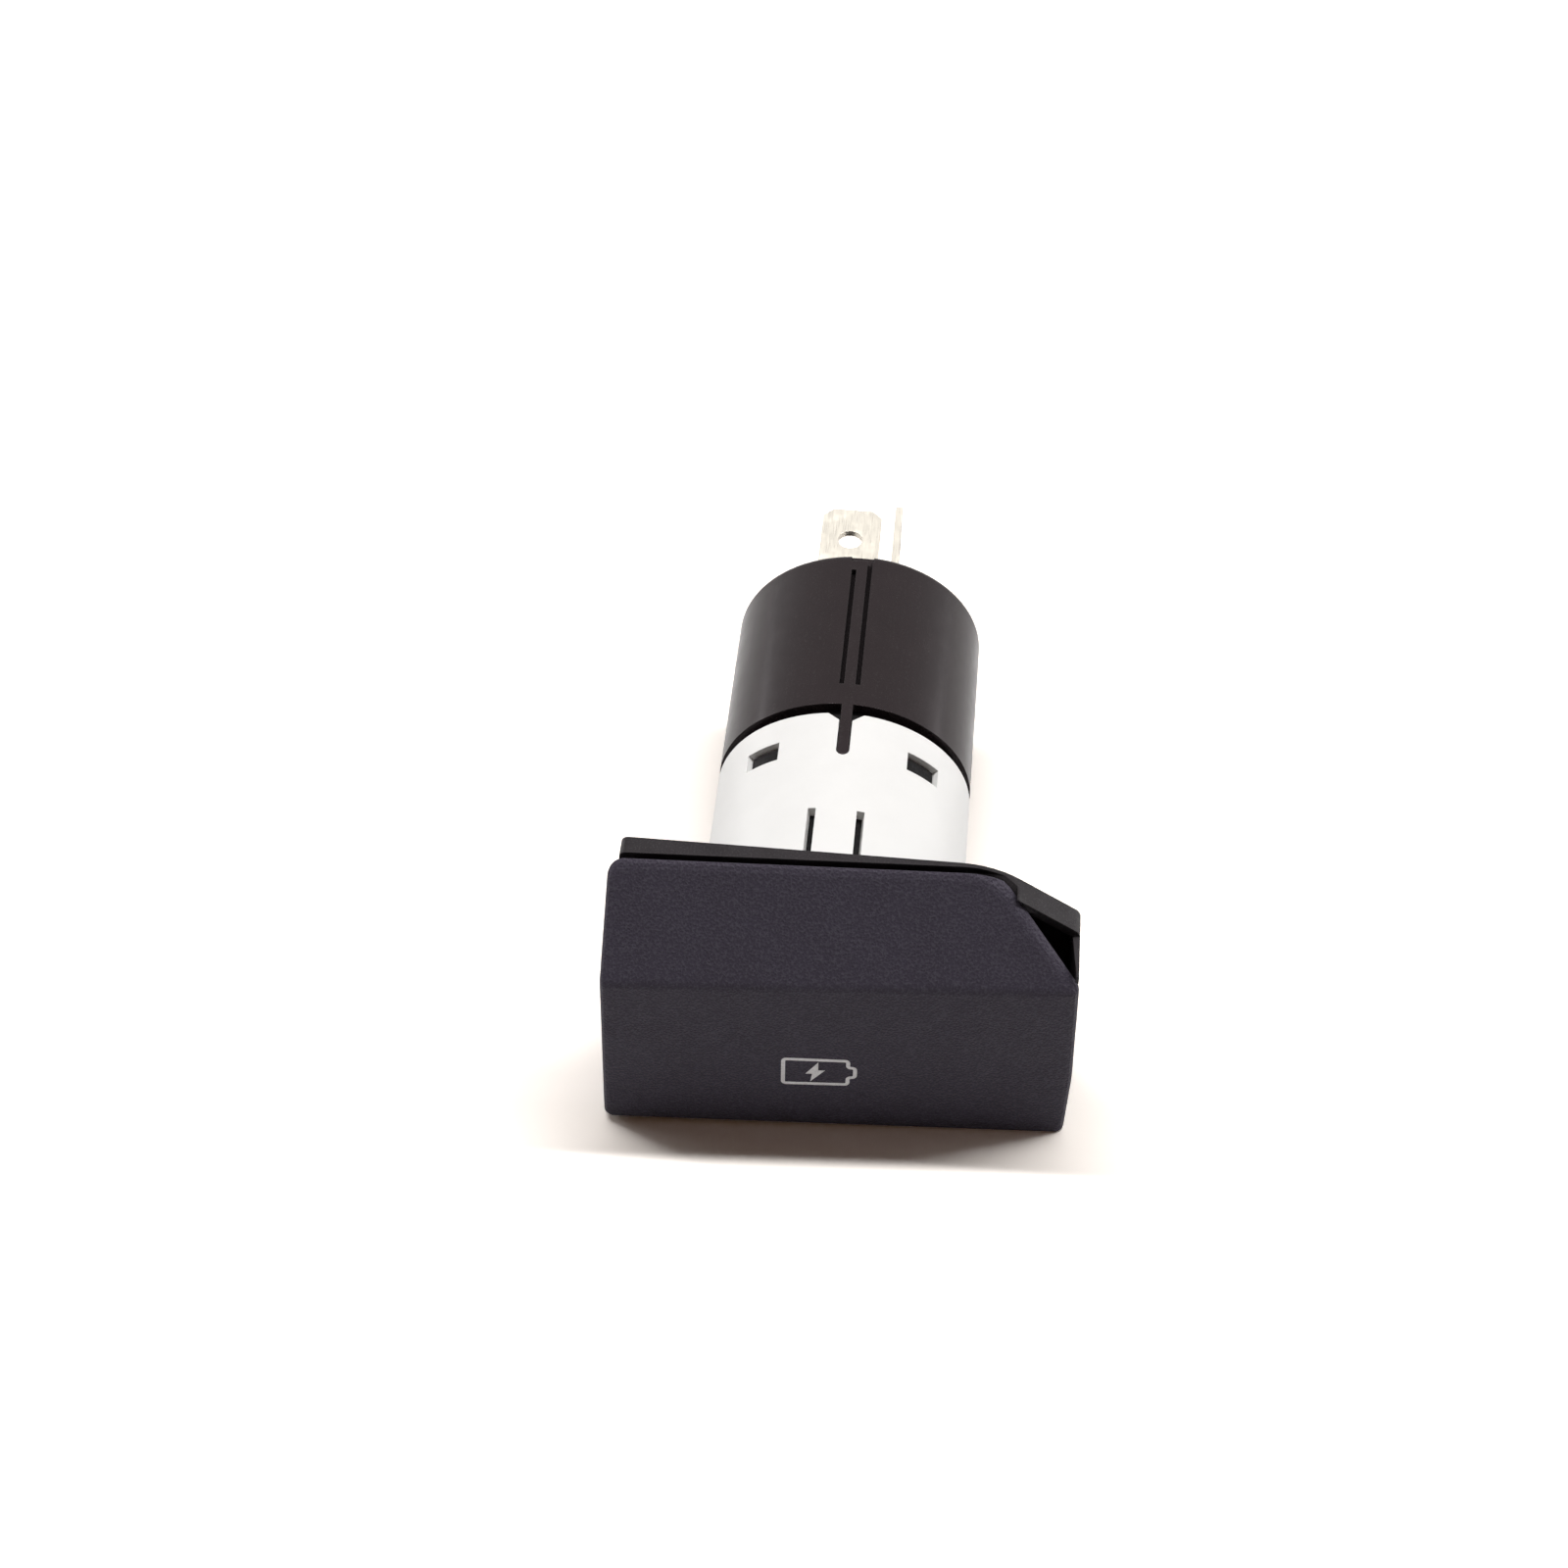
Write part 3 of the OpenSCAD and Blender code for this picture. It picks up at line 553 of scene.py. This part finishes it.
@dataclass(frozen=True)
class PaintFinish:
    """Thin white printing ink that covers the grain a little unevenly."""

    name: str = "mark_paint"
    thick: Triple = (0.95, 0.94, 0.95)
    thin: Triple = (0.82, 0.81, 0.83)

    def build(self) -> bpy.types.Material:
        """Makes the material.

        Returns:
            The finished material.
        """
        sheet = ShaderSheet(self.name)
        cover = sheet.ramp(sheet.noise(0.3 * MM, 3.0), 0.3, 0.55)
        sheet.join(sheet.mix(cover, self.thin, self.thick), sheet.shader.inputs["Base Color"])
        sheet.shader.inputs["Roughness"].default_value = 0.5
        bump = sheet.node("ShaderNodeBump")
        sheet.join(cover, bump.inputs["Height"])
        bump.inputs["Distance"].default_value = 0.004 * MM
        sheet.join(bump.outputs["Normal"], sheet.shader.inputs["Normal"])
        return sheet.material


class FinishBook:
    """Every finish of the part, made once and shared."""

    def __init__(self) -> None:
        """Makes all finishes."""
        plans = (
            # Each moulded finish's third colour is its worn colour, also painted as a highlight on
            # edges and grain peaks.
            MouldedFinish("cover_grain", (0.042, 0.037, 0.0515), (0.039, 0.034, 0.047),
                          (0.1, 0.095, 0.115), 0.46, 0.05, grain=Grain.LEATHER,
                          grain_size=0.2 * MM, grain_depth=0.06 * MM, wear_and_highlight=0.15, level=0.21,
                          tint=(0.9, 0.8, 1.0)),
            MouldedFinish("frame_satin", (0.012, 0.01, 0.011), (0.0105, 0.009, 0.0098),
                          (0.045, 0.042, 0.043), 0.42, grain_size=0.2 * MM, grain_depth=0.003 * MM,
                          wear_and_highlight=0.2, level=0.2, tint=(1.0, 0.92, 0.98)),
            MouldedFinish("liner_satin", (0.024, 0.022, 0.024), (0.019, 0.017, 0.019),
                          (0.07, 0.068, 0.07), 0.5, grain_size=0.2 * MM, grain_depth=0.006 * MM),
            # The barrel's grooves, gaps and windows get painted shade.
            MouldedFinish("barrel_satin", (0.012, 0.0076, 0.0084), (0.011, 0.007, 0.0077),
                          (0.05, 0.045, 0.045), 0.22, 0.03, grain=Grain.BRUSHED,
                          grain_size=0.3 * MM, grain_depth=0.0012 * MM, wear_and_highlight=0.3, level=0.28,
                          tint=(1.0, 0.86, 0.89), painted_shade_reach=0.9 * MM),
            MouldedFinish("inner_black", (0.011, 0.01, 0.0105), (0.009, 0.0085, 0.009),
                          (0.035, 0.034, 0.035), 0.6, wear_and_highlight=0.3, level=0.12),
            MouldedFinish("face_black", (0.012, 0.012, 0.013), (0.009, 0.009, 0.01),
                          (0.05, 0.05, 0.055), 0.2, rough_spread=0.05, grain_depth=0.001 * MM),
            MouldedFinish("ring_white", (0.93, 0.93, 0.92), (0.91, 0.91, 0.9), (0.94, 0.94, 0.935),
                          0.4, 0.02, grain_size=0.25 * MM, grain_depth=0.001 * MM, level=0.25),
            MouldedFinish("buffer_rubber", (0.02, 0.02, 0.021), (0.028, 0.028, 0.028),
                          (0.06, 0.06, 0.06), 0.78, grain_depth=0.012 * MM, level=0.35),
            MouldedFinish("tongue_black", (0.016, 0.016, 0.017), (0.012, 0.012, 0.012),
                          (0.05, 0.05, 0.05), 0.48, grain_size=0.15 * MM),
            MouldedFinish("tongue_white", (0.78, 0.77, 0.73), (0.72, 0.71, 0.67),
                          (0.85, 0.84, 0.8), 0.45, grain_size=0.15 * MM),
            MouldedFinish("chip_black", (0.02, 0.02, 0.021), (0.015, 0.015, 0.016),
                          (0.06, 0.06, 0.06), 0.6, grain_size=0.12 * MM, grain_depth=0.01 * MM),
            MouldedFinish("coil_ferrite", (0.05, 0.05, 0.055), (0.038, 0.038, 0.042),
                          (0.1, 0.1, 0.1), 0.62, grain_size=0.18 * MM, grain_depth=0.02 * MM),
            MouldedFinish("part_ceramic", (0.32, 0.24, 0.17), (0.26, 0.2, 0.14),
                          (0.4, 0.33, 0.26), 0.5, grain_size=0.1 * MM, grain_depth=0.003 * MM),
            MouldedFinish("lamp_resin", (0.86, 0.78, 0.35), (0.8, 0.7, 0.28), (0.9, 0.85, 0.5),
                          0.2, rough_spread=0.05, grain_depth=0.002 * MM),
            MetalFinish("tin_plate", (0.71, 0.665, 0.585), (0.66, 0.615, 0.53), 0.32, spots=0.15),
            MetalFinish("shell_steel", (0.68, 0.68, 0.69), (0.5, 0.49, 0.48), 0.24),
            MetalFinish("pin_steel", (0.6, 0.6, 0.61), (0.42, 0.41, 0.4), 0.28, (1.0, 1.0, 0.05)),
            MetalFinish("spring_steel", (0.56, 0.56, 0.58), (0.4, 0.38, 0.35), 0.3,
                        (1.0, 1.0, 0.05)),
            MetalFinish("contact_gold", (0.93, 0.68, 0.27), (0.75, 0.52, 0.22), 0.22),
            MetalFinish("can_metal", (0.78, 0.78, 0.79), (0.6, 0.6, 0.6), 0.32, (1.0, 1.0, 0.05)),
            MetalFinish("solder_tin", (0.72, 0.72, 0.73), (0.55, 0.55, 0.56), 0.25,
                        (1.0, 1.0, 1.0)),
            PaintFinish(),
            BoardFinish(),
        )
        self.made: dict[str, bpy.types.Material] = {plan.name: plan.build() for plan in plans}

    def dress(self, piece: bpy.types.Object, finish: str) -> None:
        """Gives a piece one finish in all its slots.

        Args:
            piece: The object to dress.
            finish: Name of the finish.
        """
        piece.data.materials.clear()
        piece.data.materials.append(self.made[finish])
        LOG.info("piece %s gets finish %s", piece.name, finish)


class SubAssembly:
    """Base of the sub-assemblies: the frame's nodes and the shared finishes."""

    finishes: dict[str, str] = {}

    def __init__(self, nodes: dict[str, bpy.types.Object], book: FinishBook) -> None:
        """Keeps what the sub-assembly works with.

        Args:
            nodes: Node objects by name.
            book: The shared finishes.
        """
        self.nodes = nodes
        self.book = book

    def build(self) -> None:
        """Gives each node of the sub-assembly its finish."""
        for node, finish in self.finishes.items():
            self.book.dress(self.nodes[node], finish)


@dataclass(frozen=True)
class MarkSizes:
    """Outlines of the printed battery mark on the cover, in millimetres from its middle.

    The height is that of its middle above the part's axis, the lift that of the ink above
    the facet.
    """

    height: float = -7.5
    line: float = 0.45
    corner: float = 0.35
    lift: float = 0.015
    case: tuple[tuple[float, float], ...] = (
        (-3.77, -2.06), (3.3, -2.06), (3.3, -0.82), (4.08, -0.82), (4.08, 0.82), (3.3, 0.82),
        (3.3, 2.0), (-3.77, 2.1),
    )
    bolt: tuple[tuple[float, float], ...] = (
        (0.07, 1.68), (-1.34, -0.36), (-0.6, -0.36), (-0.78, -1.69), (0.82, 0.28), (0.06, 0.28),
    )


class Cover(SubAssembly):
    """The hinged cover: shell, liner and the printed mark."""

    finishes = {"lid_shell": "cover_grain", "lid_liner": "liner_satin"}

    def build(self) -> None:
        """Dresses the cover and prints its mark."""
        super().build()
        self.print_mark(MarkSizes())

    def facet_frame(self, height: float) -> Matrix:
        """Frame on the lower facet, with X level and Z out of the facet.

        Args:
            height: Height of its origin in millimetres.

        Returns:
            The frame in metres.
        """
        shell = bmesh.new()
        shell.from_mesh(self.nodes["lid_shell"].data)
        tree = BVHTree.FromBMesh(shell)
        shell.free()
        before = Vector((0.0, -0.1, height * MM))
        origin, normal, _, _ = tree.ray_cast(before, Vector((0.0, 1.0, 0.0)))
        across = Vector((0.0, 0.0, 1.0)).cross(normal).normalized()
        upward = normal.cross(across).normalized()
        frame = Matrix((across, upward, normal)).transposed().to_4x4()
        frame.translation = origin
        return frame

    def print_mark(self, sizes: MarkSizes) -> None:
        """Grows the battery mark as thin paint on the lower facet.

        Args:
            sizes: The mark's outlines.
        """
        frame = self.facet_frame(sizes.height)
        frame.translation += frame.col[2].to_3d() * sizes.lift * MM
        growth = GrowthSheet("charge_mark")
        line = growth.setting("Line width", sizes.line * MM)
        corner = growth.setting("Corner radius", sizes.corner * MM)
        place = growth.setting("Place", frame.translation, "Vector")
        turn = growth.setting("Turn", frame.to_euler(), "Rotation")
        flag = growth.step("GeometryNodeInputNamedAttribute", {"Name": "flag"}, data_type="BOOLEAN")
        parts = growth.step("GeometryNodeSeparateGeometry",
                            {"Geometry": growth.seed, "Selection": flag})
        case = parts.node.outputs["Inverted"]
        path = growth.step("GeometryNodeMeshToCurve", {"Mesh": case})
        path = growth.step("GeometryNodeFilletCurve",
                           {"Curve": path, "Radius": corner, "Limit Radius": True, "Count": 5},
                           mode="POLY")
        path = growth.step("GeometryNodeSetCurveNormal", {"Curve": path}, mode="Z_UP")
        start, end = (growth.step("ShaderNodeCombineXYZ", {"X": growth.times(line, half)})
                      for half in (-0.5, 0.5))
        stroke = growth.step("GeometryNodeCurvePrimitiveLine", {"Start": start, "End": end})
        band = growth.step("GeometryNodeCurveToMesh", {"Curve": path, "Profile Curve": stroke})
        bolt = growth.step("GeometryNodeMeshToCurve", {"Mesh": parts})
        bolt = growth.step("GeometryNodeFillCurve", {"Curve": bolt})
        joined = growth.step("GeometryNodeJoinGeometry", {"Geometry": [band, bolt]})
        placed = growth.step("GeometryNodeTransform",
                             {"Geometry": joined, "Translation": place, "Rotation": turn})
        flat = [*sizes.case, *sizes.bolt]
        first = len(sizes.case)
        edges = [(i, (i + 1) % first) for i in range(first)]
        edges += [(first + i, first + (i + 1) % len(sizes.bolt)) for i in range(len(sizes.bolt))]
        piece = growth.grow([Vector((x * MM, y * MM, 0.0)) for x, y in flat], edges, placed,
                            self.book.made["mark_paint"], [i >= first for i in range(len(flat))])
        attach(piece, Body.COVER.value)


class Surround(SubAssembly):
    """The frame with its hinge pin, catch and buffers."""

    finishes = {"frame": "frame_satin", "hinge_pin": "pin_steel", "catch_spring": "spring_steel",
                "lid_buffers": "buffer_rubber"}


class RoundBody(SubAssembly):
    """The light ring, the barrel and the housing inside them."""

    finishes = {"light_ring": "ring_white", "barrel": "barrel_satin", "inner_body": "inner_black",
                "blade_carrier": "inner_black"}


class Ports(SubAssembly):
    """The face plate and both ports."""

    finishes = {"usb_face": "face_black", "usb_a_shell": "shell_steel",
                "usb_a_tongue": "tongue_white", "usb_a_contacts": "contact_gold",
                "usb_c_shell": "shell_steel", "usb_c_tongue": "tongue_black",
                "usb_c_contacts": "contact_gold"}


@dataclass(frozen=True)
class BoardLayout:
    """Places and sizes of what is soldered to the long board, in millimetres.

    The bulge and the least and most of a joint are factors, the cap share is a part of
    the length.
    """

    top: float = -1.2
    under: float = -2.8
    pin_row: tuple[float, ...] = (-5.08, -2.54, 0.0, 2.54, 5.08)
    pin_y: float = 16.35
    leg_rows: tuple[float, ...] = (-1.905, -0.635, 0.635, 1.905)
    leg_ys: tuple[float, ...] = (17.75, 24.25)
    joint_r: float = 0.3
    joint_h: float = 0.24
    joint_tip: float = 0.06
    joint_bulge: float = 1.12
    joint_waist: float = 0.04
    joint_least: Triple = (0.9, 0.9, 0.85)
    joint_most: Triple = (1.1, 1.1, 1.0)
    joint_seed: int = 7
    part_xs: tuple[float, ...] = (-9.3, -7.4, 7.4, 9.3)
    part_ys: tuple[float, ...] = (17.2, 19.3, 21.4, 23.5, 25.6)
    part_size: Triple = (1.0, 0.52, 0.36)
    part_seed: int = 11
    cap_share: float = 0.22


class Converter(SubAssembly):
    """The boards and their components, hidden inside the body."""

    finishes = {"port_board": "solder_mask", "power_board": "solder_mask",
                "ring_leds": "lamp_resin", "board_pins": "contact_gold",
                "power_coil": "coil_ferrite", "capacitors": "can_metal",
                "control_chip": "chip_black", "chip_legs": "solder_tin", "diode": "chip_black"}

    def build(self) -> None:
        """Dresses the converter, solders its pins and sets its small parts."""
        super().build()
        plan = BoardLayout()
        pins = [Vector((x, plan.pin_y, plan.top)) for x in plan.pin_row]
        legs = [Vector((x, y, plan.under)) for y in plan.leg_ys for x in plan.leg_rows]
        self.solder("pin_joints", pins, plan, 1.0)
        self.solder("leg_joints", legs, plan, -1.0)
        spots = [Vector((x, y, plan.top)) for x in plan.part_xs for y in plan.part_ys]
        self.small_parts("part_bodies", spots, plan, "part_ceramic", False)
        self.small_parts("part_ends", spots, plan, "solder_tin", True)

    def solder(self, name: str, spots: list[Vector], plan: BoardLayout, side: float) -> None:
        """Grows a row of solder joints, each a low dome of its own size.

        Args:
            name: Name of the piece.
            spots: Foot of each joint in millimetres.
            plan: The board's layout.
            side: 1 on top of the board, -1 under it.
        """
        growth = GrowthSheet(name)
        radius = growth.setting("Joint radius", plan.joint_r * MM)
        height = growth.setting("Joint height", plan.joint_h * MM)
        seed = growth.setting("Random seed", plan.joint_seed, "Int")
        dome = growth.step("GeometryNodeMeshCone",
                           {"Vertices": 20, "Side Segments": 4, "Radius Top": plan.joint_tip * MM,
                            "Radius Bottom": radius, "Depth": height})
        rows = growth.step("GeometryNodeInputPosition", {})
        bulge = growth.scaled(rows, (plan.joint_bulge, plan.joint_bulge, 1.0))
        low = growth.step("ShaderNodeSeparateXYZ", {0: rows}, "Z")
        waist = growth.step("FunctionNodeCompare", {0: low, 1: plan.joint_waist * MM},
                            operation="GREATER_THAN")
        dome = growth.step("GeometryNodeSetPosition",
                           {"Geometry": dome, "Position": bulge, "Selection": waist})
        size = growth.step("FunctionNodeRandomValue",
                           {0: plan.joint_least, 1: plan.joint_most, "Seed": seed},
                           data_type="FLOAT_VECTOR")
        joints = growth.step("GeometryNodeInstanceOnPoints",
                             {"Points": growth.seed, "Instance": dome,
                              "Scale": growth.scaled(size, (1.0, 1.0, side))})
        piece = growth.grow([spot * MM for spot in spots], [], joints, self.book.made["solder_tin"])
        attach(piece, Body.SOCKET.value)

    def small_parts(self, name: str, spots: list[Vector], plan: BoardLayout, finish: str,
                    ends: bool) -> None:
        """Grows the bodies or the end caps of the small chip parts.

        Args:
            name: Name of the piece.
            spots: Foot of each part in millimetres.
            plan: The board's layout.
            finish: Name of the finish.
            ends: True for the end caps.
        """
        growth = GrowthSheet(name)
        length, width, height = plan.part_size
        share = growth.setting("Cap share", plan.cap_share)
        seed = growth.setting("Random seed", plan.part_seed, "Int")
        whole = growth.setting("Length", length * MM)
        cap = growth.times(whole, share)
        if ends:
            thick = cap
        else:
            thick = growth.step("ShaderNodeMath", {0: whole, 1: growth.times(cap, 2.0)},
                                operation="SUBTRACT")
        size = growth.step("ShaderNodeCombineXYZ", {"X": thick, "Y": width * MM, "Z": height * MM})
        block = growth.step("GeometryNodeMeshCube", {"Size": size})
        lift = growth.step("GeometryNodeTransform",
                           {"Geometry": block, "Translation": (0.0, 0.0, height * MM / 2.0)})
        if ends:
            reach = growth.step("ShaderNodeMath", {0: whole, 1: cap}, operation="SUBTRACT")
            moves = [growth.step("ShaderNodeCombineXYZ", {"X": growth.times(reach, half)})
                     for half in (0.5, -0.5)]
            both = [growth.step("GeometryNodeTransform", {"Geometry": lift, "Translation": move})
                    for move in moves]
            lift = growth.step("GeometryNodeJoinGeometry", {"Geometry": both})
        quarter = growth.step("FunctionNodeRandomValue", {4: 0, 5: 1, "Seed": seed}, 2,
                              data_type="INT")
        turn = growth.step("ShaderNodeCombineXYZ", {"Z": growth.times(quarter, math.pi / 2.0)})
        parts = growth.step("GeometryNodeInstanceOnPoints",
                            {"Points": growth.seed, "Instance": lift, "Rotation": turn})
        piece = growth.grow([spot * MM for spot in spots], [], parts, self.book.made[finish])
        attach(piece, Body.SOCKET.value)


class Terminals(SubAssembly):
    """The two blades at the rear."""

    finishes = {"live_blade": "tin_plate", "ground_blade": "tin_plate"}


@dataclass(frozen=True)
class Lamp:
    """A rectangular area lamp aimed at the part, in metres and watts."""

    name: str
    place: Triple
    size: tuple[float, float]
    power: float
    tint: Triple


@dataclass(frozen=True)
class Studio:
    """Floor, lamps, world and camera of the photograph.

    The camera's place and the floor's height are in millimetres, the angles in degrees.
    The floor's paint lights the part. What the camera sees of it is brighter, as in the
    overexposed photograph, and fades to white between the two distances in metres.
    """

    camera_at: Triple = (9.735, -167.688, 224.595)
    focal_px: float = 2600.0
    image_px: float = 1600.0
    elevation: float = 49.64
    heading: float = 5.03
    roll: float = 0.56
    floor_z: float = -16.62
    floor_tilt: float = 2.3
    floor_half: float = 2.5
    floor_paint: Triple = (0.9, 0.9, 0.9)
    floor_seen: Triple = (1.56, 1.49, 1.42)
    floor_mirrored: Triple = (1.0, 1.0, 1.0)
    floor_fade: tuple[float, float] = (0.18, 0.45)
    sensor: float = 36.0
    fill: Triple = (1.0, 0.52, 0.2)
    fill_strength: float = 0.035
    aim: Triple = (0.0, 0.01, 0.0)
    lamps: tuple[Lamp, ...] = (
        Lamp("strip_lamp", (0.06, 0.277, 1.0), (1.3, 0.02), 11.8, (1.0, 0.995, 0.99)),
        Lamp("left_lamp", (-1.0, 0.45, 0.22), (0.5, 0.9), 4.3, (1.0, 1.0, 1.0)),
        Lamp("right_lamp", (1.0, 0.45, 0.22), (0.5, 0.9), 3.9, (1.0, 1.0, 1.0)),
    )

    def build(self) -> None:
        """Builds the whole studio."""
        self.set_camera()
        self.lay_floor()
        self.hang_lamps()
        self.tint_world()

    def set_camera(self) -> None:
        """Puts the camera where the photograph was taken."""
        rise, turn, roll = (math.radians(a) for a in (self.elevation, self.heading, self.roll))
        forward = Vector((-math.sin(turn) * math.cos(rise), math.cos(turn) * math.cos(rise),
                          -math.sin(rise)))
        level = Vector((math.cos(turn), math.sin(turn), 0.0))
        upward = level.cross(forward)
        right = level * math.cos(roll) + upward * math.sin(roll)
        top = upward * math.cos(roll) - level * math.sin(roll)
        lens = bpy.data.cameras.new("photo_camera")
        lens.sensor_width = self.sensor
        lens.lens = self.sensor * self.focal_px / self.image_px
        lens.clip_start = 0.01
        lens.clip_end = 20.0
        camera = bpy.data.objects.new("photo_camera", lens)
        place = Matrix((right, top, -forward)).transposed().to_4x4()
        place.translation = Vector(self.camera_at) * MM
        camera.matrix_world = place
        bpy.context.scene.collection.objects.link(camera)
        bpy.context.scene.camera = camera

    def lay_floor(self) -> None:
        """Lays the pale table that the part lies on."""
        mesh = bpy.data.meshes.new("table_top")
        half = self.floor_half
        plan = [(-half, -half), (half, -half), (half, half), (-half, half)]
        slope = math.tan(math.radians(self.floor_tilt))
        corners = [(x, y, self.floor_z * MM + y * slope) for x, y in plan]
        mesh.from_pydata(corners, [], [(0, 1, 2, 3)])
        floor = bpy.data.objects.new("table_top", mesh)
        bpy.context.scene.collection.objects.link(floor)
        sheet = ShaderSheet("table_paint")
        sheet.shader.inputs["Base Color"].default_value = (*self.floor_paint, 1.0)
        sheet.shader.inputs["Roughness"].default_value = 0.6
        sheet.shader.inputs["Specular IOR Level"].default_value = 0.2
        seen = sheet.node("ShaderNodeBsdfDiffuse")
        rays = sheet.node("ShaderNodeLightPath").outputs
        sheet.join(sheet.mix(rays["Is Camera Ray"], self.floor_mirrored, self.floor_seen),
                   seen.inputs["Color"])
        reach = sheet.node("ShaderNodeVectorMath", operation="LENGTH")
        sheet.join(sheet.point, reach.inputs[0])
        white = sheet.node("ShaderNodeEmission")
        fade = sheet.ramp(reach.outputs["Value"], *self.floor_fade)
        far = self.blend(sheet.tree, fade, seen, white)
        surface = self.blend(sheet.tree, self.direct_rays(sheet.tree), sheet.shader, far)
        sheet.join(surface.outputs[0], sheet.tree.nodes["Material Output"].inputs["Surface"])
        mesh.materials.append(sheet.material)

    @staticmethod
    def direct_rays(tree: bpy.types.NodeTree) -> bpy.types.NodeSocket:
        """Tells the rays that see or mirror something from those that light it.

        Args:
            tree: Node tree of a material or a world.

        Returns:
            1 for camera, glossy and transmission rays, else 0.
        """
        rays = tree.nodes.new("ShaderNodeLightPath").outputs
        found = rays["Is Camera Ray"]
        for name in ("Is Glossy Ray", "Is Transmission Ray"):
            larger = tree.nodes.new("ShaderNodeMath")
            larger.operation = "MAXIMUM"
            tree.links.new(found, larger.inputs[0])
            tree.links.new(rays[name], larger.inputs[1])
            found = larger.outputs[0]
        return found

    @staticmethod
    def blend(tree: bpy.types.NodeTree, amount: bpy.types.NodeSocket, first: bpy.types.Node,
              second: bpy.types.Node) -> bpy.types.Node:
        """Mixes two shaders.

        Args:
            tree: Node tree of a material or a world.
            amount: Share of the second shader.
            first: First shader.
            second: Second shader.

        Returns:
            The mixing node.
        """
        made = tree.nodes.new("ShaderNodeMixShader")
        for slot, source in enumerate((amount, first.outputs[0], second.outputs[0])):
            tree.links.new(source, made.inputs[slot])
        return made

    def hang_lamps(self) -> None:
        """Hangs the area lamps with their long side along X, each aimed at the part."""
        aim = Vector(self.aim)
        for lamp in self.lamps:
            light = bpy.data.lights.new(lamp.name, "AREA")
            light.shape = "RECTANGLE"
            light.size, light.size_y = lamp.size
            light.energy = lamp.power
            light.color = lamp.tint
            holder = bpy.data.objects.new(lamp.name, light)
            spot = Vector(lamp.place)
            away = (spot - aim).normalized()
            along = Vector((1.0, 0.0, 0.0)).cross(away).normalized()
            turn = Matrix((along.cross(away), along, away)).transposed().to_4x4()
            turn.translation = spot
            holder.matrix_world = turn
            bpy.context.scene.collection.objects.link(holder)

    def tint_world(self) -> None:
        """Gives the world a weak fill, and white to what looks at it or mirrors it."""
        world = bpy.data.worlds.new("studio_world")
        world.use_nodes = True
        tree = world.node_tree
        seen = tree.nodes.new("ShaderNodeBackground")
        seen.inputs["Color"].default_value = (1.0, 1.0, 1.0, 1.0)
        lit = tree.nodes["Background"]
        lit.inputs["Color"].default_value = (*self.fill, 1.0)
        lit.inputs["Strength"].default_value = self.fill_strength
        sky = self.blend(tree, self.direct_rays(tree), lit, seen)
        tree.links.new(sky.outputs[0], tree.nodes["World Output"].inputs["Surface"])
        bpy.context.scene.world = world


def main() -> None:
    """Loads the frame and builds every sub-assembly."""
    logging.basicConfig(level=logging.INFO, format="%(name)s: %(message)s")
    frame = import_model()
    bpy.context.scene.view_settings.view_transform = "Standard"
    book = FinishBook()
    for assembly in (Cover, Surround, RoundBody, Ports, Converter, Terminals):
        assembly(frame["nodes"], book).build()
    Studio().build()


if __name__ == "__main__":
    main()
